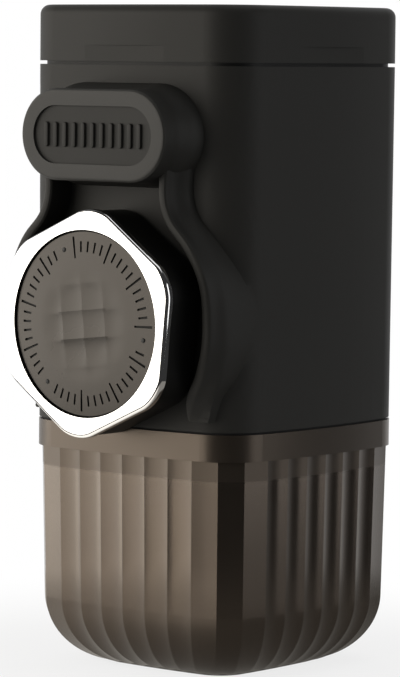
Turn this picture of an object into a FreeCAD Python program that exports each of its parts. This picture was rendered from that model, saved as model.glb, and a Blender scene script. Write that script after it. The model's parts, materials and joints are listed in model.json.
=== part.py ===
import FreeCAD, Part
import math
import os
import Sketcher

# A hand-pumped espresso maker that stands on its own cup.  Millimetres, +Z up.
# The origin is the middle of the cup's base; the pump knob faces -Y.

SIZES = {
    # outline shared by lid, casing and cup: a square with bowed sides and round corners;
    # the casing's height is measured from the pump's axis
    "side_radius": 189.0,
    "corner_radius": 11.3,
    "casing_half_width": 33.2,
    "casing_foot_half_width": 32.93,
    "casing_wall": 2.2,
    "casing_height": 56.8,
    # cup
    "cup_height": 56.0,
    "cup_band_height": 6.0,
    "cup_band_half_width": 33.0,
    "cup_half_width": 32.43,
    "cup_draft": 0.0184,
    "cup_wall": 1.8,
    "cup_floor": 2.5,
    "cup_foot_round": 15.2,
    "cup_corner_inset": 0.6,
    "cup_foot_inset": 0.2,
    "cup_foot_bevel": 1.4,
    "flutes_per_side": 8.0,
    "corner_flute_width": 6.0,
    "flute_depth": 0.45,
    # seal between cup and brew head
    "parting_gap": 0.5,
    "parting_inset": 0.65,
    "seal_thickness": 0.7,
    "seal_clearance": 0.15,
    # lid
    "lid_groove": 0.8,
    "groove_inset": 1.6,
    "lid_height": 12.6,
    "lid_wall": 2.0,
    "lid_edge_round": 2.2,
    "lid_skirt_depth": 6.4,
    "lid_skirt_wall": 1.8,
    "lid_clearance": 0.3,
    "thumb_flat_depth": 0.35,
    "thumb_flat_height": 3.6,
    "thumb_flat_half_length": 19.9,
    "gasket_height": 2.4,
    "gasket_depth": 1.2,
    # water tank
    "tank_bore_radius": 24.6,
    "tank_wall": 1.8,
    "tank_depth": 36.0,
    "strainer_radius": 6.0,
    "strainer_height": 1.0,
    "strainer_hole_radius": 0.6,
    "strainer_hole_pitch": 1.8,
    "drain_radius": 1.8,
    # front pod: label plate and the two lips round the knob, standing out of the casing's
    # face, the plate's middle above the pump's axis
    "lip_crest_depth": 6.37,
    "lip_width": 2.3,
    "lip_flare": 3.0,
    "lip_edge_round": 0.9,
    "lip_shoulder_drop": 1.84,
    "lip_root_depth": 13.0,
    "lip_root_flare": 0.4,
    "well_tail": 6.0,
    "label_root_depth": 4.0,
    "label_height": 41.4,
    "label_face_depth": 10.57,
    "label_flare": 1.3,
    "label_half_length": 21.0,
    "label_half_height": 10.2,
    "label_recess_half_length": 17.2,
    "label_recess_half_height": 6.45,
    "label_recess_depth": 0.6,
    # pump: its axis above the brew head, its cup behind the casing's front wall
    "pump_height": 19.8,
    "pump_bore_radius": 10.0,
    "pump_wall": 2.5,
    "pump_back_depth": 16.8,
    "pump_cup_depth": 3.93,
    "pump_cup_radius": 17.5,
    "pump_cup_wall": 2.0,
    "pump_flange_radius": 22.0,
    "pump_screw_spread": 18.1,
    "pump_ear_gap": 0.4,
    "pump_ear_radius": 3.0,
    "pump_screw_grip": 1.7,
    "valve_offset": 14.0,
    "boss_wall": 2.3,
    "washer_thickness": 1.2,
    # check valves
    "ball_radius": 2.0,
    "valve_seat_radius": 1.2,
    "valve_seat_thickness": 1.2,
    "valve_clearance": 0.3,
    "valve_wire": 0.4,
    "valve_spring_radius": 1.3,
    "valve_spring_turns": 3.0,
    "retainer_thickness": 1.2,
    "retainer_hole_radius": 0.8,
    # plunger
    "rod_radius": 4.5,
    "piston_thickness": 7.0,
    "piston_gap": 1.0,
    "piston_clearance": 0.3,
    "piston_ring_height": 3.0,
    "piston_ring_depth": 2.0,
    "rod_stub_radius": 3.0,
    "guide_thickness": 6.1,
    "guide_flange_radius": 12.4,
    "guide_flange_thickness": 1.3,
    "rod_flange_radius": 9.2,
    "rod_flange_thickness": 1.4,
    "rod_seat_depth": 4.2,
    "return_wire": 1.2,
    "return_spring_radius": 8.2,
    "return_spring_turns": 5.0,
    "running_fit": 0.05,
    "touch_gap": 0.1,
    # knob, depths measured outwards from the casing's face
    "knob_back_depth": 1.27,
    "knob_plate_depth": 9.07,
    "knob_ring_depth": 10.87,
    "knob_face_depth": 12.67,
    "knob_reach": 27.0,
    "knob_skirt_inset": 0.5,
    "knob_corner_radius": 9.5,
    "knob_tilt": 5.6,
    "knob_wall": 2.0,
    "knob_bevel": 0.6,
    "dial_radius": 20.6,
    "dial_clearance": 0.1,
    "sleeve_radius": 13.4,
    "sleeve_wall": 1.6,
    "lug_reach": 2.6,
    "lug_thickness": 1.4,
    "lug_sweep": 45.0,
    "rib_sweep": 5.0,
    "hook_sweep": 50.0,
    "hook_thickness": 1.2,
    "hook_gap": 1.5,
    "hook_root": 0.4,
    "hub_radius": 6.5,
    "hub_pocket_radius": 5.2,
    "knob_screw_head_radius": 4.4,
    "knob_screw_head_height": 1.2,
    "knob_screw_length": 6.8,
    "screw_shank_radius": 1.25,
    "screw_head_radius": 2.4,
    "screw_head_height": 1.6,
    # lock ring
    "lock_ring_bore": 17.2,
    "lock_ring_radius": 19.3,
    "lock_ring_flange_radius": 21.2,
    "lock_ring_flange_thickness": 1.2,
    "fitting_gap": 0.2,
    # brew head
    "head_plate_thickness": 4.0,
    "head_spigot_depth": 5.5,
    "head_bore_radius": 25.2,
    "head_chamber_radius": 18.3,
    "head_chamber_depth": 1.5,
    "head_boss_radius": 3.6,
    "head_screw_inset": 6.09,
    "head_post_radius": 3.5,
    "head_post_height": 12.0,
    "head_post_web": 1.12,
    "head_screw_reach": 9.0,
    "screw_hole_spare": 1.0,
    "ledge_thickness": 2.2,
    "ledge_width": 2.0,
    "ledge_sweep": 50.0,
    "screen_radius": 19.3,
    "screen_thickness": 0.8,
    "screen_hole_radius": 0.7,
    "screen_first_ring": 6.5,
    "screen_hole_pitch": 3.6,
    "brew_gasket_width": 3.6,
    "brew_gasket_thickness": 1.4,
    # portafilter
    "filter_radius": 22.5,
    "filter_wall": 1.7,
    "filter_depth": 24.0,
    "filter_floor": 2.0,
    "filter_lug_reach": 2.3,
    "filter_lug_sweep": 46.0,
    "basket_radius": 20.4,
    "basket_wall": 0.6,
    "basket_depth": 20.0,
    "basket_rim_width": 1.9,
    "spout_length": 12.0,
    "spout_top_radius": 9.0,
    "spout_tip_radius": 5.0,
    "spout_wall": 1.6,
}

doc = FreeCAD.newDocument("espresso_maker")
sheet = doc.addObject("Spreadsheet::Sheet", "sizes")
for row, (alias, number) in enumerate(SIZES.items(), start=1):
    sheet.set("A%d" % row, alias)
    sheet.set("B%d" % row, repr(number))
    sheet.setAlias("B%d" % row, alias)
doc.recompute()


class Size:
    """A length that carries its number and the sheet expression it is worked out from."""

    def __init__(self, number, text):
        self.number = number
        self.text = text

    def __float__(self):
        return self.number

    def __add__(self, other):
        return joined(self, "+", other, float(self) + float(other))

    def __radd__(self, other):
        return joined(other, "+", self, float(self) + float(other))

    def __sub__(self, other):
        return joined(self, "-", other, float(self) - float(other))

    def __rsub__(self, other):
        return joined(other, "-", self, float(other) - float(self))

    def __mul__(self, other):
        return joined(self, "*", other, float(self) * float(other))

    def __rmul__(self, other):
        return joined(other, "*", self, float(self) * float(other))

    def __truediv__(self, other):
        return joined(self, "/", other, float(self) / float(other))

    def __neg__(self):
        return 0 - self


def text_of(value):
    return value.text if isinstance(value, Size) else "(%r)" % float(value)


def joined(left, sign, right, number):
    return Size(number, "(%s %s %s)" % (text_of(left), sign, text_of(right)))


def root(value):
    return Size(math.sqrt(float(value)), "sqrt(%s)" % text_of(value))


def cosine(degrees):
    return Size(math.cos(math.radians(float(degrees))), "cos(%s)" % text_of(degrees))


def sine(degrees):
    return Size(math.sin(math.radians(float(degrees))), "sin(%s)" % text_of(degrees))


class Sheet:
    """Reads a cell of the sheet by its alias: s.cup_height."""

    def __getattr__(self, alias):
        return Size(float(sheet.get(alias)), "sizes." + alias)


s = Sheet()


def bind(item, prop, value):
    """Sets a property, and ties it to the sheet when the value comes from there."""
    if isinstance(value, Size):
        item.setExpression(prop, value.text)
    elif prop.isalpha():
        setattr(item, prop, value)


# ------------------------------------------------------------------ levels and shared fits

CASING_FOOT = s.cup_height + s.parting_gap
SKIRT_RADIUS = s.tank_bore_radius - s.lid_clearance
TANK_RADIUS = s.tank_bore_radius + s.tank_wall
HEAD_TOP = s.cup_height + s.head_plate_thickness
PUMP_AXIS = HEAD_TOP + s.pump_height
CASING_TOP = PUMP_AXIS + s.casing_height
LID_FOOT = CASING_TOP + s.lid_groove
LID_TOP = LID_FOOT + s.lid_height
TANK_FLOOR = LID_FOOT - s.tank_depth
TANK_UNDERSIDE = TANK_FLOOR - s.tank_wall
INLET_TOP = TANK_UNDERSIDE - s.washer_thickness
LABEL_AXIS = PUMP_AXIS + s.label_height
CASING_FACE = s.casing_foot_half_width
CASING_FRONT_WALL = CASING_FACE - s.casing_wall
LIP_CREST = CASING_FACE + s.lip_crest_depth
LABEL_FACE = CASING_FACE + s.label_face_depth
KNOB_BACK = CASING_FACE + s.knob_back_depth
KNOB_PLATE = CASING_FACE + s.knob_plate_depth
KNOB_RING = CASING_FACE + s.knob_ring_depth
KNOB_FACE = CASING_FACE + s.knob_face_depth
PUMP_RADIUS = s.pump_bore_radius + s.pump_wall
PUMP_CUP_FLOOR = CASING_FRONT_WALL - s.pump_cup_depth
PUMP_CUP_FRONT = PUMP_CUP_FLOOR + s.pump_wall
PUMP_SCREW_TIP = PUMP_CUP_FRONT + s.pump_screw_grip
UPPER_EAR_RISE = TANK_UNDERSIDE - PUMP_AXIS - s.pump_ear_gap - s.pump_ear_radius
LOWER_EAR_RISE = PUMP_AXIS - HEAD_TOP - s.pump_ear_gap - s.pump_ear_radius
PUMP_SCREW_PLACES = [
    (s.pump_screw_spread, UPPER_EAR_RISE), (-s.pump_screw_spread, UPPER_EAR_RISE),
    (-s.pump_screw_spread, -LOWER_EAR_RISE), (s.pump_screw_spread, -LOWER_EAR_RISE)]
OUTLET_FOOT = HEAD_TOP + s.running_fit
VALVE_CHAMBER = s.ball_radius + s.valve_clearance
VALVE_BOSS_RADIUS = VALVE_CHAMBER + s.boss_wall
BALL_DROP = root(s.ball_radius * s.ball_radius - s.valve_seat_radius * s.valve_seat_radius)
SPRING_DROP = root(s.ball_radius * s.ball_radius - s.valve_spring_radius * s.valve_spring_radius)
INLET_SEAT = INLET_TOP - s.valve_seat_thickness
OUTLET_SEAT = PUMP_AXIS - s.pump_bore_radius - s.valve_seat_thickness
GUIDE_FACE = PUMP_CUP_FLOOR + s.guide_flange_thickness
ROD_SEAT = KNOB_PLATE - s.rod_seat_depth
PISTON_BACK = s.piston_gap - s.pump_back_depth + VALVE_BOSS_RADIUS
PISTON_FRONT = PISTON_BACK + s.piston_thickness
HUB_BACK = ROD_SEAT + s.rod_flange_thickness + s.touch_gap
HUB_FRONT = KNOB_RING - s.rod_flange_thickness
SEAL_HALF_WIDTH = s.cup_half_width + s.cup_draft * s.cup_band_height - s.cup_wall - s.seal_clearance
SPIGOT_HALF_WIDTH = SEAL_HALF_WIDTH - s.seal_thickness
HEAD_SCREW_SPREAD = SPIGOT_HALF_WIDTH - s.head_screw_inset
FLANGE_FLAT = PUMP_AXIS - HEAD_TOP - s.fitting_gap
FILTER_TOP = s.cup_height - s.brew_gasket_thickness - s.touch_gap
BASKET_TOP = FILTER_TOP
FILTER_RIM = BASKET_TOP - s.basket_wall
FILTER_FOOT = FILTER_RIM - s.filter_depth
LEDGE_TOP = FILTER_RIM - s.ledge_thickness - s.touch_gap

# ------------------------------------------------------------------ drawing in sketches


def new_body(name, frame=None):
    body = doc.addObject("PartDesign::Body", name)
    body.Label = name
    if frame:
        frame(body)
    return body


def on_pump_axis(item):
    """Turns an item so that its Z points out of the front along the pump's axis."""
    item.Placement = FreeCAD.Placement(
        FreeCAD.Vector(0, 0, float(PUMP_AXIS)),
        FreeCAD.Rotation(FreeCAD.Vector(1, 0, 0), 90),
    )
    item.setExpression("Placement.Base.z", PUMP_AXIS.text)


def over_valves(item):
    """Moves an item back to the axis that the two check valves share."""
    item.Placement = FreeCAD.Placement(
        FreeCAD.Vector(0, float(s.valve_offset), 0), FreeCAD.Rotation()
    )
    item.setExpression("Placement.Base.y", s.valve_offset.text)


def sketch_in(body, name, role="XY_Plane", level=0):
    sketch = body.newObject("Sketcher::SketchObject", name)
    plane = [each for each in body.Origin.OriginFeatures if each.Role == role][0]
    sketch.AttachmentSupport = (plane, [""])
    sketch.MapMode = "FlatFace"
    sketch.AttachmentOffset = FreeCAD.Placement(
        FreeCAD.Vector(0, 0, float(level)), FreeCAD.Rotation()
    )
    bind(sketch, "AttachmentOffset.Base.z", level)
    return sketch


def pin_point(sketch, piece, end, point):
    """Holds one end of a sketched piece at a point measured from the sketch's origin."""
    for kind, value in zip(("DistanceX", "DistanceY"), point):
        rule = Sketcher.Constraint(kind, -1, 1, piece, end, float(value))
        number = sketch.addConstraint(rule)
        bind(sketch, "Constraints[%d]" % number, value)


def hold_radius(sketch, piece, radius):
    number = sketch.addConstraint(Sketcher.Constraint("Radius", piece, float(radius)))
    bind(sketch, "Constraints[%d]" % number, radius)


def draw_loop(sketch, corners, arcs=None):
    """A closed outline; arcs gives, by corner number, the centre and radius of an arc."""
    arcs = arcs or {}
    flat = [FreeCAD.Vector(float(x), float(y), 0) for x, y in corners]
    pieces = []
    for number, here in enumerate(flat):
        there = flat[(number + 1) % len(flat)]
        if number not in arcs:
            piece = sketch.addGeometry(Part.LineSegment(here, there), False)
            pieces.append((piece, 1, 2))
            continue
        centre, radius = arcs[number]
        middle = FreeCAD.Vector(float(centre[0]), float(centre[1]), 0)
        begin = math.atan2(here.y - middle.y, here.x - middle.x)
        finish = math.atan2(there.y - middle.y, there.x - middle.x)
        clockwise = (finish - begin) % (2 * math.pi) > math.pi
        if clockwise:
            begin, finish = finish, begin
        circle = Part.Circle(middle, FreeCAD.Vector(0, 0, 1), float(radius))
        finish = begin + (finish - begin) % (2 * math.pi)
        piece = sketch.addGeometry(Part.ArcOfCircle(circle, begin, finish), False)
        pieces.append((piece, 2, 1) if clockwise else (piece, 1, 2))
        hold_radius(sketch, piece, radius)
    for number, (piece, start, end) in enumerate(pieces):
        after = pieces[(number + 1) % len(pieces)]
        sketch.addConstraint(Sketcher.Constraint("Coincident", piece, end, after[0], after[1]))
        pin_point(sketch, piece, start, corners[number])


def draw_circle(sketch, radius, x=0, y=0):
    centre = FreeCAD.Vector(float(x), float(y), 0)
    circle = Part.Circle(centre, FreeCAD.Vector(0, 0, 1), float(radius))
    piece = sketch.addGeometry(circle, False)
    hold_radius(sketch, piece, radius)
    pin_point(sketch, piece, 3, (x, y))


def draw_box(sketch, left, right, low, high):
    draw_loop(sketch, [(left, low), (right, low), (right, high), (left, high)])


def draw_outline(sketch, half_width, corner):
    """The square with bowed sides: side arcs and corner arcs that meet tangent."""
    gap = s.side_radius - half_width
    reach = s.side_radius - corner
    centre = (root(2 * reach * reach - gap * gap) - gap) / 2
    along = s.side_radius * centre / reach
    out = s.side_radius * (gap + centre) / reach - gap
    corners = [
        (along, -out), (out, -along), (out, along), (along, out),
        (-along, out), (-out, along), (-out, -along), (-along, -out),
    ]
    arcs = {
        0: ((centre, -centre), corner), 1: ((-gap, 0), s.side_radius),
        2: ((centre, centre), corner), 3: ((0, -gap), s.side_radius),
        4: ((-centre, centre), corner), 5: ((gap, 0), s.side_radius),
        6: ((-centre, -centre), corner), 7: ((0, gap), s.side_radius),
    }
    draw_loop(sketch, corners, arcs)


def draw_sector(sketch, inner, outer, middle, sweep):
    """A piece of a ring: middle is its direction and sweep its width, in degrees."""
    start = middle - sweep / 2
    end = middle + sweep / 2
    corners = [
        (outer * cosine(start), outer * sine(start)),
        (outer * cosine(end), outer * sine(end)),
        (inner * cosine(end), inner * sine(end)),
        (inner * cosine(start), inner * sine(start)),
    ]
    draw_loop(sketch, corners, {0: ((0, 0), outer), 2: ((0, 0), inner)})


def draw_hexagon(sketch, reach):
    turns = [60 * step + 30 - s.knob_tilt for step in range(6)]
    draw_loop(sketch, [(reach * cosine(turn), reach * sine(turn)) for turn in turns])


# ------------------------------------------------------------------ features of a body


def turned(name, profile, frame=None):
    """A body turned about its Z from (radius, level) points."""
    body = new_body(name, frame)
    add_turned(body, profile)
    return body


def add_turned(body, profile, kind="Revolution"):
    sketch = sketch_in(body, body.Label + "_profile", "XZ_Plane")
    draw_loop(sketch, profile)
    feature = body.newObject("PartDesign::" + kind, body.Label + "_" + kind.lower())
    feature.Profile = sketch
    feature.ReferenceAxis = (sketch, ["V_Axis"])
    feature.Angle = 360
    return feature


def add_prism(body, bottom, top, draw):
    """Pads what draw puts in a sketch, from one level up to another."""
    sketch = sketch_in(body, body.Label + "_outline", level=bottom)
    draw(sketch)
    feature = body.newObject("PartDesign::Pad", body.Label + "_pad")
    feature.Profile = sketch
    bind(feature, "Length", top - bottom)
    return feature


def cut_prism(body, bottom, top, draw):
    """Pockets what draw puts in a sketch, from the top level down to the bottom one."""
    sketch = sketch_in(body, body.Label + "_opening", level=top)
    draw(sketch)
    feature = body.newObject("PartDesign::Pocket", body.Label + "_pocket")
    feature.Profile = sketch
    bind(feature, "Length", top - bottom)
    return feature


def edges_where(feature, test):
    doc.recompute()
    edges = feature.Shape.Edges
    return ["Edge%d" % (number + 1) for number, edge in enumerate(edges) if test(edge)]


def soften(body, feature, kind, size, test):
    """Fillets or chamfers the edges of a feature that pass a test."""
    names = edges_where(feature, test)
    dressed = body.newObject("PartDesign::" + kind, body.Label + "_" + kind.lower())
    dressed.Base = (feature, names)
    bind(dressed, "Radius" if kind == "Fillet" else "Size", size)
    return dressed


def is_level(edge, level):
    box = edge.BoundBox
    return abs(box.ZMin - float(level)) < 0.001 and abs(box.ZMax - float(level)) < 0.001


def is_upright(edge):
    return edge.BoundBox.XLength < 0.001 and edge.BoundBox.YLength < 0.001


def circles(radius, places):
    def draw(sketch):
        for x, y in places:
            draw_circle(sketch, radius, x, y)
    return draw


def ring_of(count, radius, first=0):
    """Places spread evenly round the axis."""
    turns = [first + 360 * step / count for step in range(count)]
    return [(radius * cosine(turn), radius * sine(turn)) for turn in turns]


def corners_of(across, along):
    return [(across, along), (-across, along), (-across, -along), (across, -along)]


CENTRE = [(0, 0)]


def coil(name, radius, wire, bottom, top, turns, frame):
    """A round-wire spring between two levels, a running fit away from both.

    Each half turn is a half torus, tilted so that it climbs; the halves meet tangent.
    """
    start = bottom + s.running_fit + wire / 2
    rise = (top - s.running_fit - wire / 2 - start) / (turns * 2)
    reach = root(radius * radius + rise * rise / 4)
    tilt = math.degrees(math.asin(float(rise) / 2 / float(reach)))
    upward = FreeCAD.Rotation(FreeCAD.Vector(0, 1, 0), tilt)
    onward = FreeCAD.Rotation(FreeCAD.Vector(0, 1, 0), -tilt)
    about = FreeCAD.Rotation(FreeCAD.Vector(0, 0, 1), 180)
    halves = []
    for step in range(int(round(float(turns) * 2))):
        half = doc.addObject("Part::Torus", "%s_half_%d" % (name, step))
        bind(half, "Radius1", reach)
        bind(half, "Radius2", wire / 2)
        half.Angle3 = 180
        level = start + rise * (step + 0.5)
        turn = onward * about if step % 2 else upward
        half.Placement = FreeCAD.Placement(FreeCAD.Vector(0, 0, float(level)), turn)
        half.setExpression("Placement.Base.z", level.text)
        halves.append(half)
    wound = doc.addObject("Part::MultiFuse", name + "_wound")
    wound.Shapes = halves
    spring = doc.addObject("Part::Compound", name)
    spring.Links = [wound]
    spring.Label = name
    frame(spring)
    return spring


# ------------------------------------------------------------------ shapes for the mouldings


def corner_centre(half_width, corner):
    """How far sideways, and forwards, the centre of a bowed square's corner lies."""
    gap = float(s.side_radius) - half_width
    reach = float(s.side_radius) - corner
    return (math.sqrt(2 * reach ** 2 - gap ** 2) - gap) / 2


def corner_reach(half_width, corner):
    """How far from its middle a bowed square reaches along its diagonals."""
    return corner_centre(half_width, corner) * math.sqrt(2) + corner


def outline_wire(half_width, corner, level):
    """The bowed square as a wire of eight arcs at one level."""
    side = float(s.side_radius)
    gap = side - half_width
    reach = side - corner
    centre = corner_centre(half_width, corner)
    along = side * centre / reach
    out = side * (gap + centre) / reach - gap
    tip = centre + corner * math.sqrt(0.5)
    edges = []
    for quarter in range(4):
        turn = FreeCAD.Rotation(FreeCAD.Vector(0, 0, 1), 90 * quarter)
        points = [(-along, -out), (0, -half_width), (along, -out), (tip, -tip), (out, -along)]
        spots = [turn.multVec(FreeCAD.Vector(x, y, 0)) for x, y in points]
        spots = [spot + FreeCAD.Vector(0, 0, level) for spot in spots]
        edges.append(Part.Arc(spots[0], spots[1], spots[2]).toShape())
        edges.append(Part.Arc(spots[2], spots[3], spots[4]).toShape())
    return Part.Wire(edges)


def drafted_block(low_half_width, high_half_width, corner, low, high):
    wires = [outline_wire(low_half_width, corner, low), outline_wire(high_half_width, corner, high)]
    return Part.makeLoft(wires, True, True)


def stadium_wire(half_length, half_height, height, depth):
    """A bar with round ends, standing in the plane y = -depth."""
    run = half_length - half_height

    def spot(x, z):
        return FreeCAD.Vector(x, -depth, height + z)

    left, right, top, low = -run, run, half_height, -half_height
    return Part.Wire([
        Part.makeLine(spot(left, top), spot(right, top)),
        Part.Arc(spot(right, top), spot(right + half_height, 0), spot(right, low)).toShape(),
        Part.makeLine(spot(right, low), spot(left, low)),
        Part.Arc(spot(left, low), spot(left - half_height, 0), spot(left, top)).toShape(),
    ])


def shape_node(name, shape):
    node = doc.addObject("Part::Feature", name)
    node.Label = name
    node.Shape = shape
    return node


# ------------------------------------------------------------------ casing

# Middle line of the right lip's crest from the neck down to the tip, as (sideways, height
# above the pump's axis, share of the flare), because the flank runs into the casing's round
# corner with less flare than it has on the flat face.
LIP_LINE = [
    (16.9, 41.2, 1.0), (16.8, 33.2, 1.0), (16.8, 27.7, 1.0), (19.1, 22.3, 0.9),
    (22.3, 19.1, 0.65), (25.3, 15.4, 0.45), (27.5, 11.5, 0.35), (28.8, 7.2, 0.35),
    (29.3, 1.7, 0.35), (29.1, -4.0, 0.35), (28.2, -8.0, 0.35), (26.8, -12.0, 0.3),
    (25.4, -14.7, 0.25), (24.8, -17.8, 0.2), (24.9, -20.9, 0.2),
]

# How much of the lip's width is left at the end of its line and one point before it.
LIP_TIP_SHARE = 0.3
LIP_NECK_SHARE = 0.85

# How far a cutting block runs past the face that it cuts through.
CUT_SPARE = 1.0


def lip_curve(spread, depth, side):
    """The lip's line moved sideways by spread, as one smooth curve at a depth."""
    spots = []
    upright = min(spread, float(s.lip_width) / 2)
    axis = float(PUMP_AXIS)
    last = len(LIP_LINE) - 1
    narrowing = {last: LIP_TIP_SHARE, last - 1: LIP_NECK_SHARE}
    for number, (x, z, share) in enumerate(LIP_LINE):
        before = LIP_LINE[max(number - 1, 0)]
        after = LIP_LINE[min(number + 1, last)]
        run = FreeCAD.Vector(after[0] - before[0], 0, after[1] - before[1]).normalize()
        reach = upright + (spread - upright) * share
        out = FreeCAD.Vector(-run.z, 0, run.x) * reach * narrowing.get(number, 1.0)
        spots.append(FreeCAD.Vector(side * (x + out.x), -depth, axis + z + out.z))
    curve = Part.BSplineCurve()
    curve.interpolate(spots)
    return curve.toShape(), spots[0], spots[-1]


def vase_wire(spread, depth, tail=0.0):
    """Both lips' lines, closed across the neck and, a tail lower, across the foot."""
    right, right_top, right_foot = lip_curve(spread, depth, 1)
    left, left_top, left_foot = lip_curve(spread, depth, -1)
    edges = [right]
    if tail:
        drop = FreeCAD.Vector(0, 0, -tail)
        edges.append(Part.makeLine(right_foot, right_foot + drop))
        edges.append(Part.makeLine(right_foot + drop, left_foot + drop))
        edges.append(Part.makeLine(left_foot + drop, left_foot))
    else:
        edges.append(Part.makeLine(right_foot, left_foot))
    return Part.Wire(edges + [left, Part.makeLine(left_top, right_top)])


def soft_slope(near, far, wide, narrow, steps):
    """(spread, depth) pairs down a flank that leaves and meets its neighbours smoothly."""
    pairs = []
    for step in range(steps + 1):
        share = step / steps
        spread = narrow + (wide - narrow) * (1 + math.cos(math.pi * share)) / 2
        pairs.append((spread, near + (far - near) * share))
    return pairs


def rounded_crest(half, depth, edge_round):
    """(spread, depth) pairs over the rounded edge of a crest."""
    pairs = []
    for degrees in (0, 30, 60, 90):
        angle = math.radians(degrees)
        pairs.append((half - edge_round * (1 - math.cos(angle)),
                      depth - edge_round * (1 - math.sin(angle))))
    return pairs


def lips():
    """The two lips: a flared vase shape with a straight-sided well cut through it."""
    crest = float(LIP_CREST)
    half = float(s.lip_width) / 2
    flare = float(s.lip_flare)
    face = float(CASING_FACE)
    root = face - float(s.lip_root_depth)
    shoulder = crest - float(s.lip_shoulder_drop)
    edge = rounded_crest(half, crest, float(s.lip_edge_round))
    flank = [(flare + float(s.lip_root_flare), root)] + soft_slope(face, shoulder, flare, half, 5)
    outside = [vase_wire(spread, depth) for spread, depth in flank + edge]
    tail = float(s.well_tail)
    rim = [(half, root - CUT_SPARE)] + edge + [(edge[-1][0], crest + CUT_SPARE)]
    well = [vase_wire(-spread, depth, tail) for spread, depth in rim]
    return Part.makeLoft(outside, True, True).cut(Part.makeLoft(well, True, True))


def label_plate():
    """The bar with round ends above the knob, flared where it meets the casing."""
    length = float(s.label_half_length)
    height = float(s.label_half_height)
    middle = float(LABEL_AXIS)
    flare = float(s.label_flare)
    face = float(CASING_FACE)
    neck = float(LIP_CREST)
    front = float(LABEL_FACE)
    flank = [(flare + float(s.lip_root_flare), face - float(s.label_root_depth))]
    flank += soft_slope(face, neck, flare, 0.0, 5)
    flank += rounded_crest(0.0, front, float(s.lip_edge_round))
    bar = Part.makeLoft(
        [stadium_wire(length + out, height + out, middle, depth) for out, depth in flank],
        True, True,
    )
    recess = Part.makeLoft([
        stadium_wire(float(s.label_recess_half_length), float(s.label_recess_half_height),
                     middle, depth)
        for depth in (front - float(s.label_recess_depth), front + CUT_SPARE)], True, True)
    return bar.cut(recess)


def along_y(radius, near, far, x, z):
    """A rod-shaped block that runs back from depth far to depth near."""
    return Part.makeCylinder(
        radius, far - near, FreeCAD.Vector(x, -far, z), FreeCAD.Vector(0, 1, 0)
    )


def make_casing():
    low = float(CASING_FOOT)
    high = float(CASING_TOP)
    foot = float(CASING_FACE)
    top = float(s.casing_half_width)
    corner = float(s.corner_radius)
    wall = float(s.casing_wall)
    pump = float(PUMP_AXIS)
    shell = drafted_block(foot, top, corner, low, high)
    shell = shell.fuse([lips(), label_plate()])
    cavity = drafted_block(foot - wall, top - wall, corner - wall, low - 0.001, high + 0.001)
    shell = shell.cut(cavity)
    ear = float(s.pump_ear_radius)
    screw_places = [(float(x), pump + float(z))
                    for x, z in PUMP_SCREW_PLACES]
    bosses = [along_y(ear, float(PUMP_CUP_FRONT), foot - wall / 2, x, z) for x, z in screw_places]
    posts = []
    post = float(HEAD_SCREW_SPREAD)
    post_foot = float(HEAD_TOP)
    web_end = corner_reach(foot - wall, corner - wall) + float(s.head_post_web)
    for quarter in range(4):
        column = Part.makeCylinder(
            float(s.head_post_radius), float(s.head_post_height),
            FreeCAD.Vector(post, post, post_foot),
        )
        web = Part.makeBox(
            web_end - post * math.sqrt(2), wall, float(s.head_post_height),
            FreeCAD.Vector(post * math.sqrt(2), -wall / 2, post_foot),
        )
        web.rotate(FreeCAD.Vector(), FreeCAD.Vector(0, 0, 1), 45)
        for piece in (column, web):
            piece.rotate(FreeCAD.Vector(), FreeCAD.Vector(0, 0, 1), 90 * quarter)
            posts.append(piece)
    shell = shell.fuse(bosses + posts)
    shank = float(s.screw_shank_radius)
    gap = float(s.fitting_gap)
    seat = float(PUMP_CUP_FRONT + s.lock_ring_flange_thickness + s.running_fit)
    inside = float(PUMP_CUP_FLOOR)
    outside = float(LIP_CREST)
    holes = [
        along_y(float(s.lock_ring_radius) + gap, inside, outside, 0, pump),
        along_y(float(s.lock_ring_flange_radius) + gap, inside, seat, 0, pump),
    ]
    for x, z in screw_places:
        holes.append(along_y(shank, inside, float(PUMP_SCREW_TIP) + gap, x, z))
    for x in (post, -post):
        for y in (post, -post):
            holes.append(Part.makeCylinder(
                shank, float(s.head_screw_reach + s.screw_hole_spare),
                FreeCAD.Vector(x, y, post_foot - 0.001),
            ))
    return shape_node("casing", shell.cut(holes).removeSplitter())


# ------------------------------------------------------------------ cup


def fluted_wire(half_width, corner, level, depth):
    """The bowed square drawn as shallow scallops that meet in sharp edges."""
    guide = outline_wire(half_width, corner, level)
    whole = guide.Length
    quarter = whole / 4
    count = int(round(float(s.flutes_per_side)))
    scale = half_width / float(s.cup_half_width)
    corner_share = float(s.corner_flute_width) * scale
    pitch = (quarter - corner_share) / count
    side = guide.OrderedEdges[0].Length
    stops = []
    for face in range(4):
        middle = face * quarter + side / 2
        for step in range(count + 1):
            stops.append(middle + (step - count / 2) * pitch)
    edges = []
    for number, stop in enumerate(stops):
        after = stops[number + 1] if number + 1 < len(stops) else stops[0] + whole
        ends = [point_along(guide, stop), point_along(guide, after)]
        middle = point_along(guide, (stop + after) / 2)
        inward = FreeCAD.Vector(-middle.x, -middle.y, 0).normalize()
        edges.append(Part.Arc(ends[0], middle + inward * depth, ends[1]).toShape())
    return Part.Wire(edges)


def point_along(wire, distance):
    """The point of a closed wire at a distance from its start."""
    distance = distance % wire.Length
    for edge in wire.OrderedEdges:
        if distance <= edge.Length:
            return edge.valueAt(edge.getParameterByLength(distance))
        distance -= edge.Length
    return wire.OrderedEdges[-1].lastVertex().Point


def cup_half_width(level):
    """Half width of the fluted wall at a level, before the rounding of its foot."""
    return float(s.cup_half_width) - float(s.cup_draft) * (shoulder_level() - level)


def shoulder_level():
    return float(s.cup_height) - float(s.cup_band_height)


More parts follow.
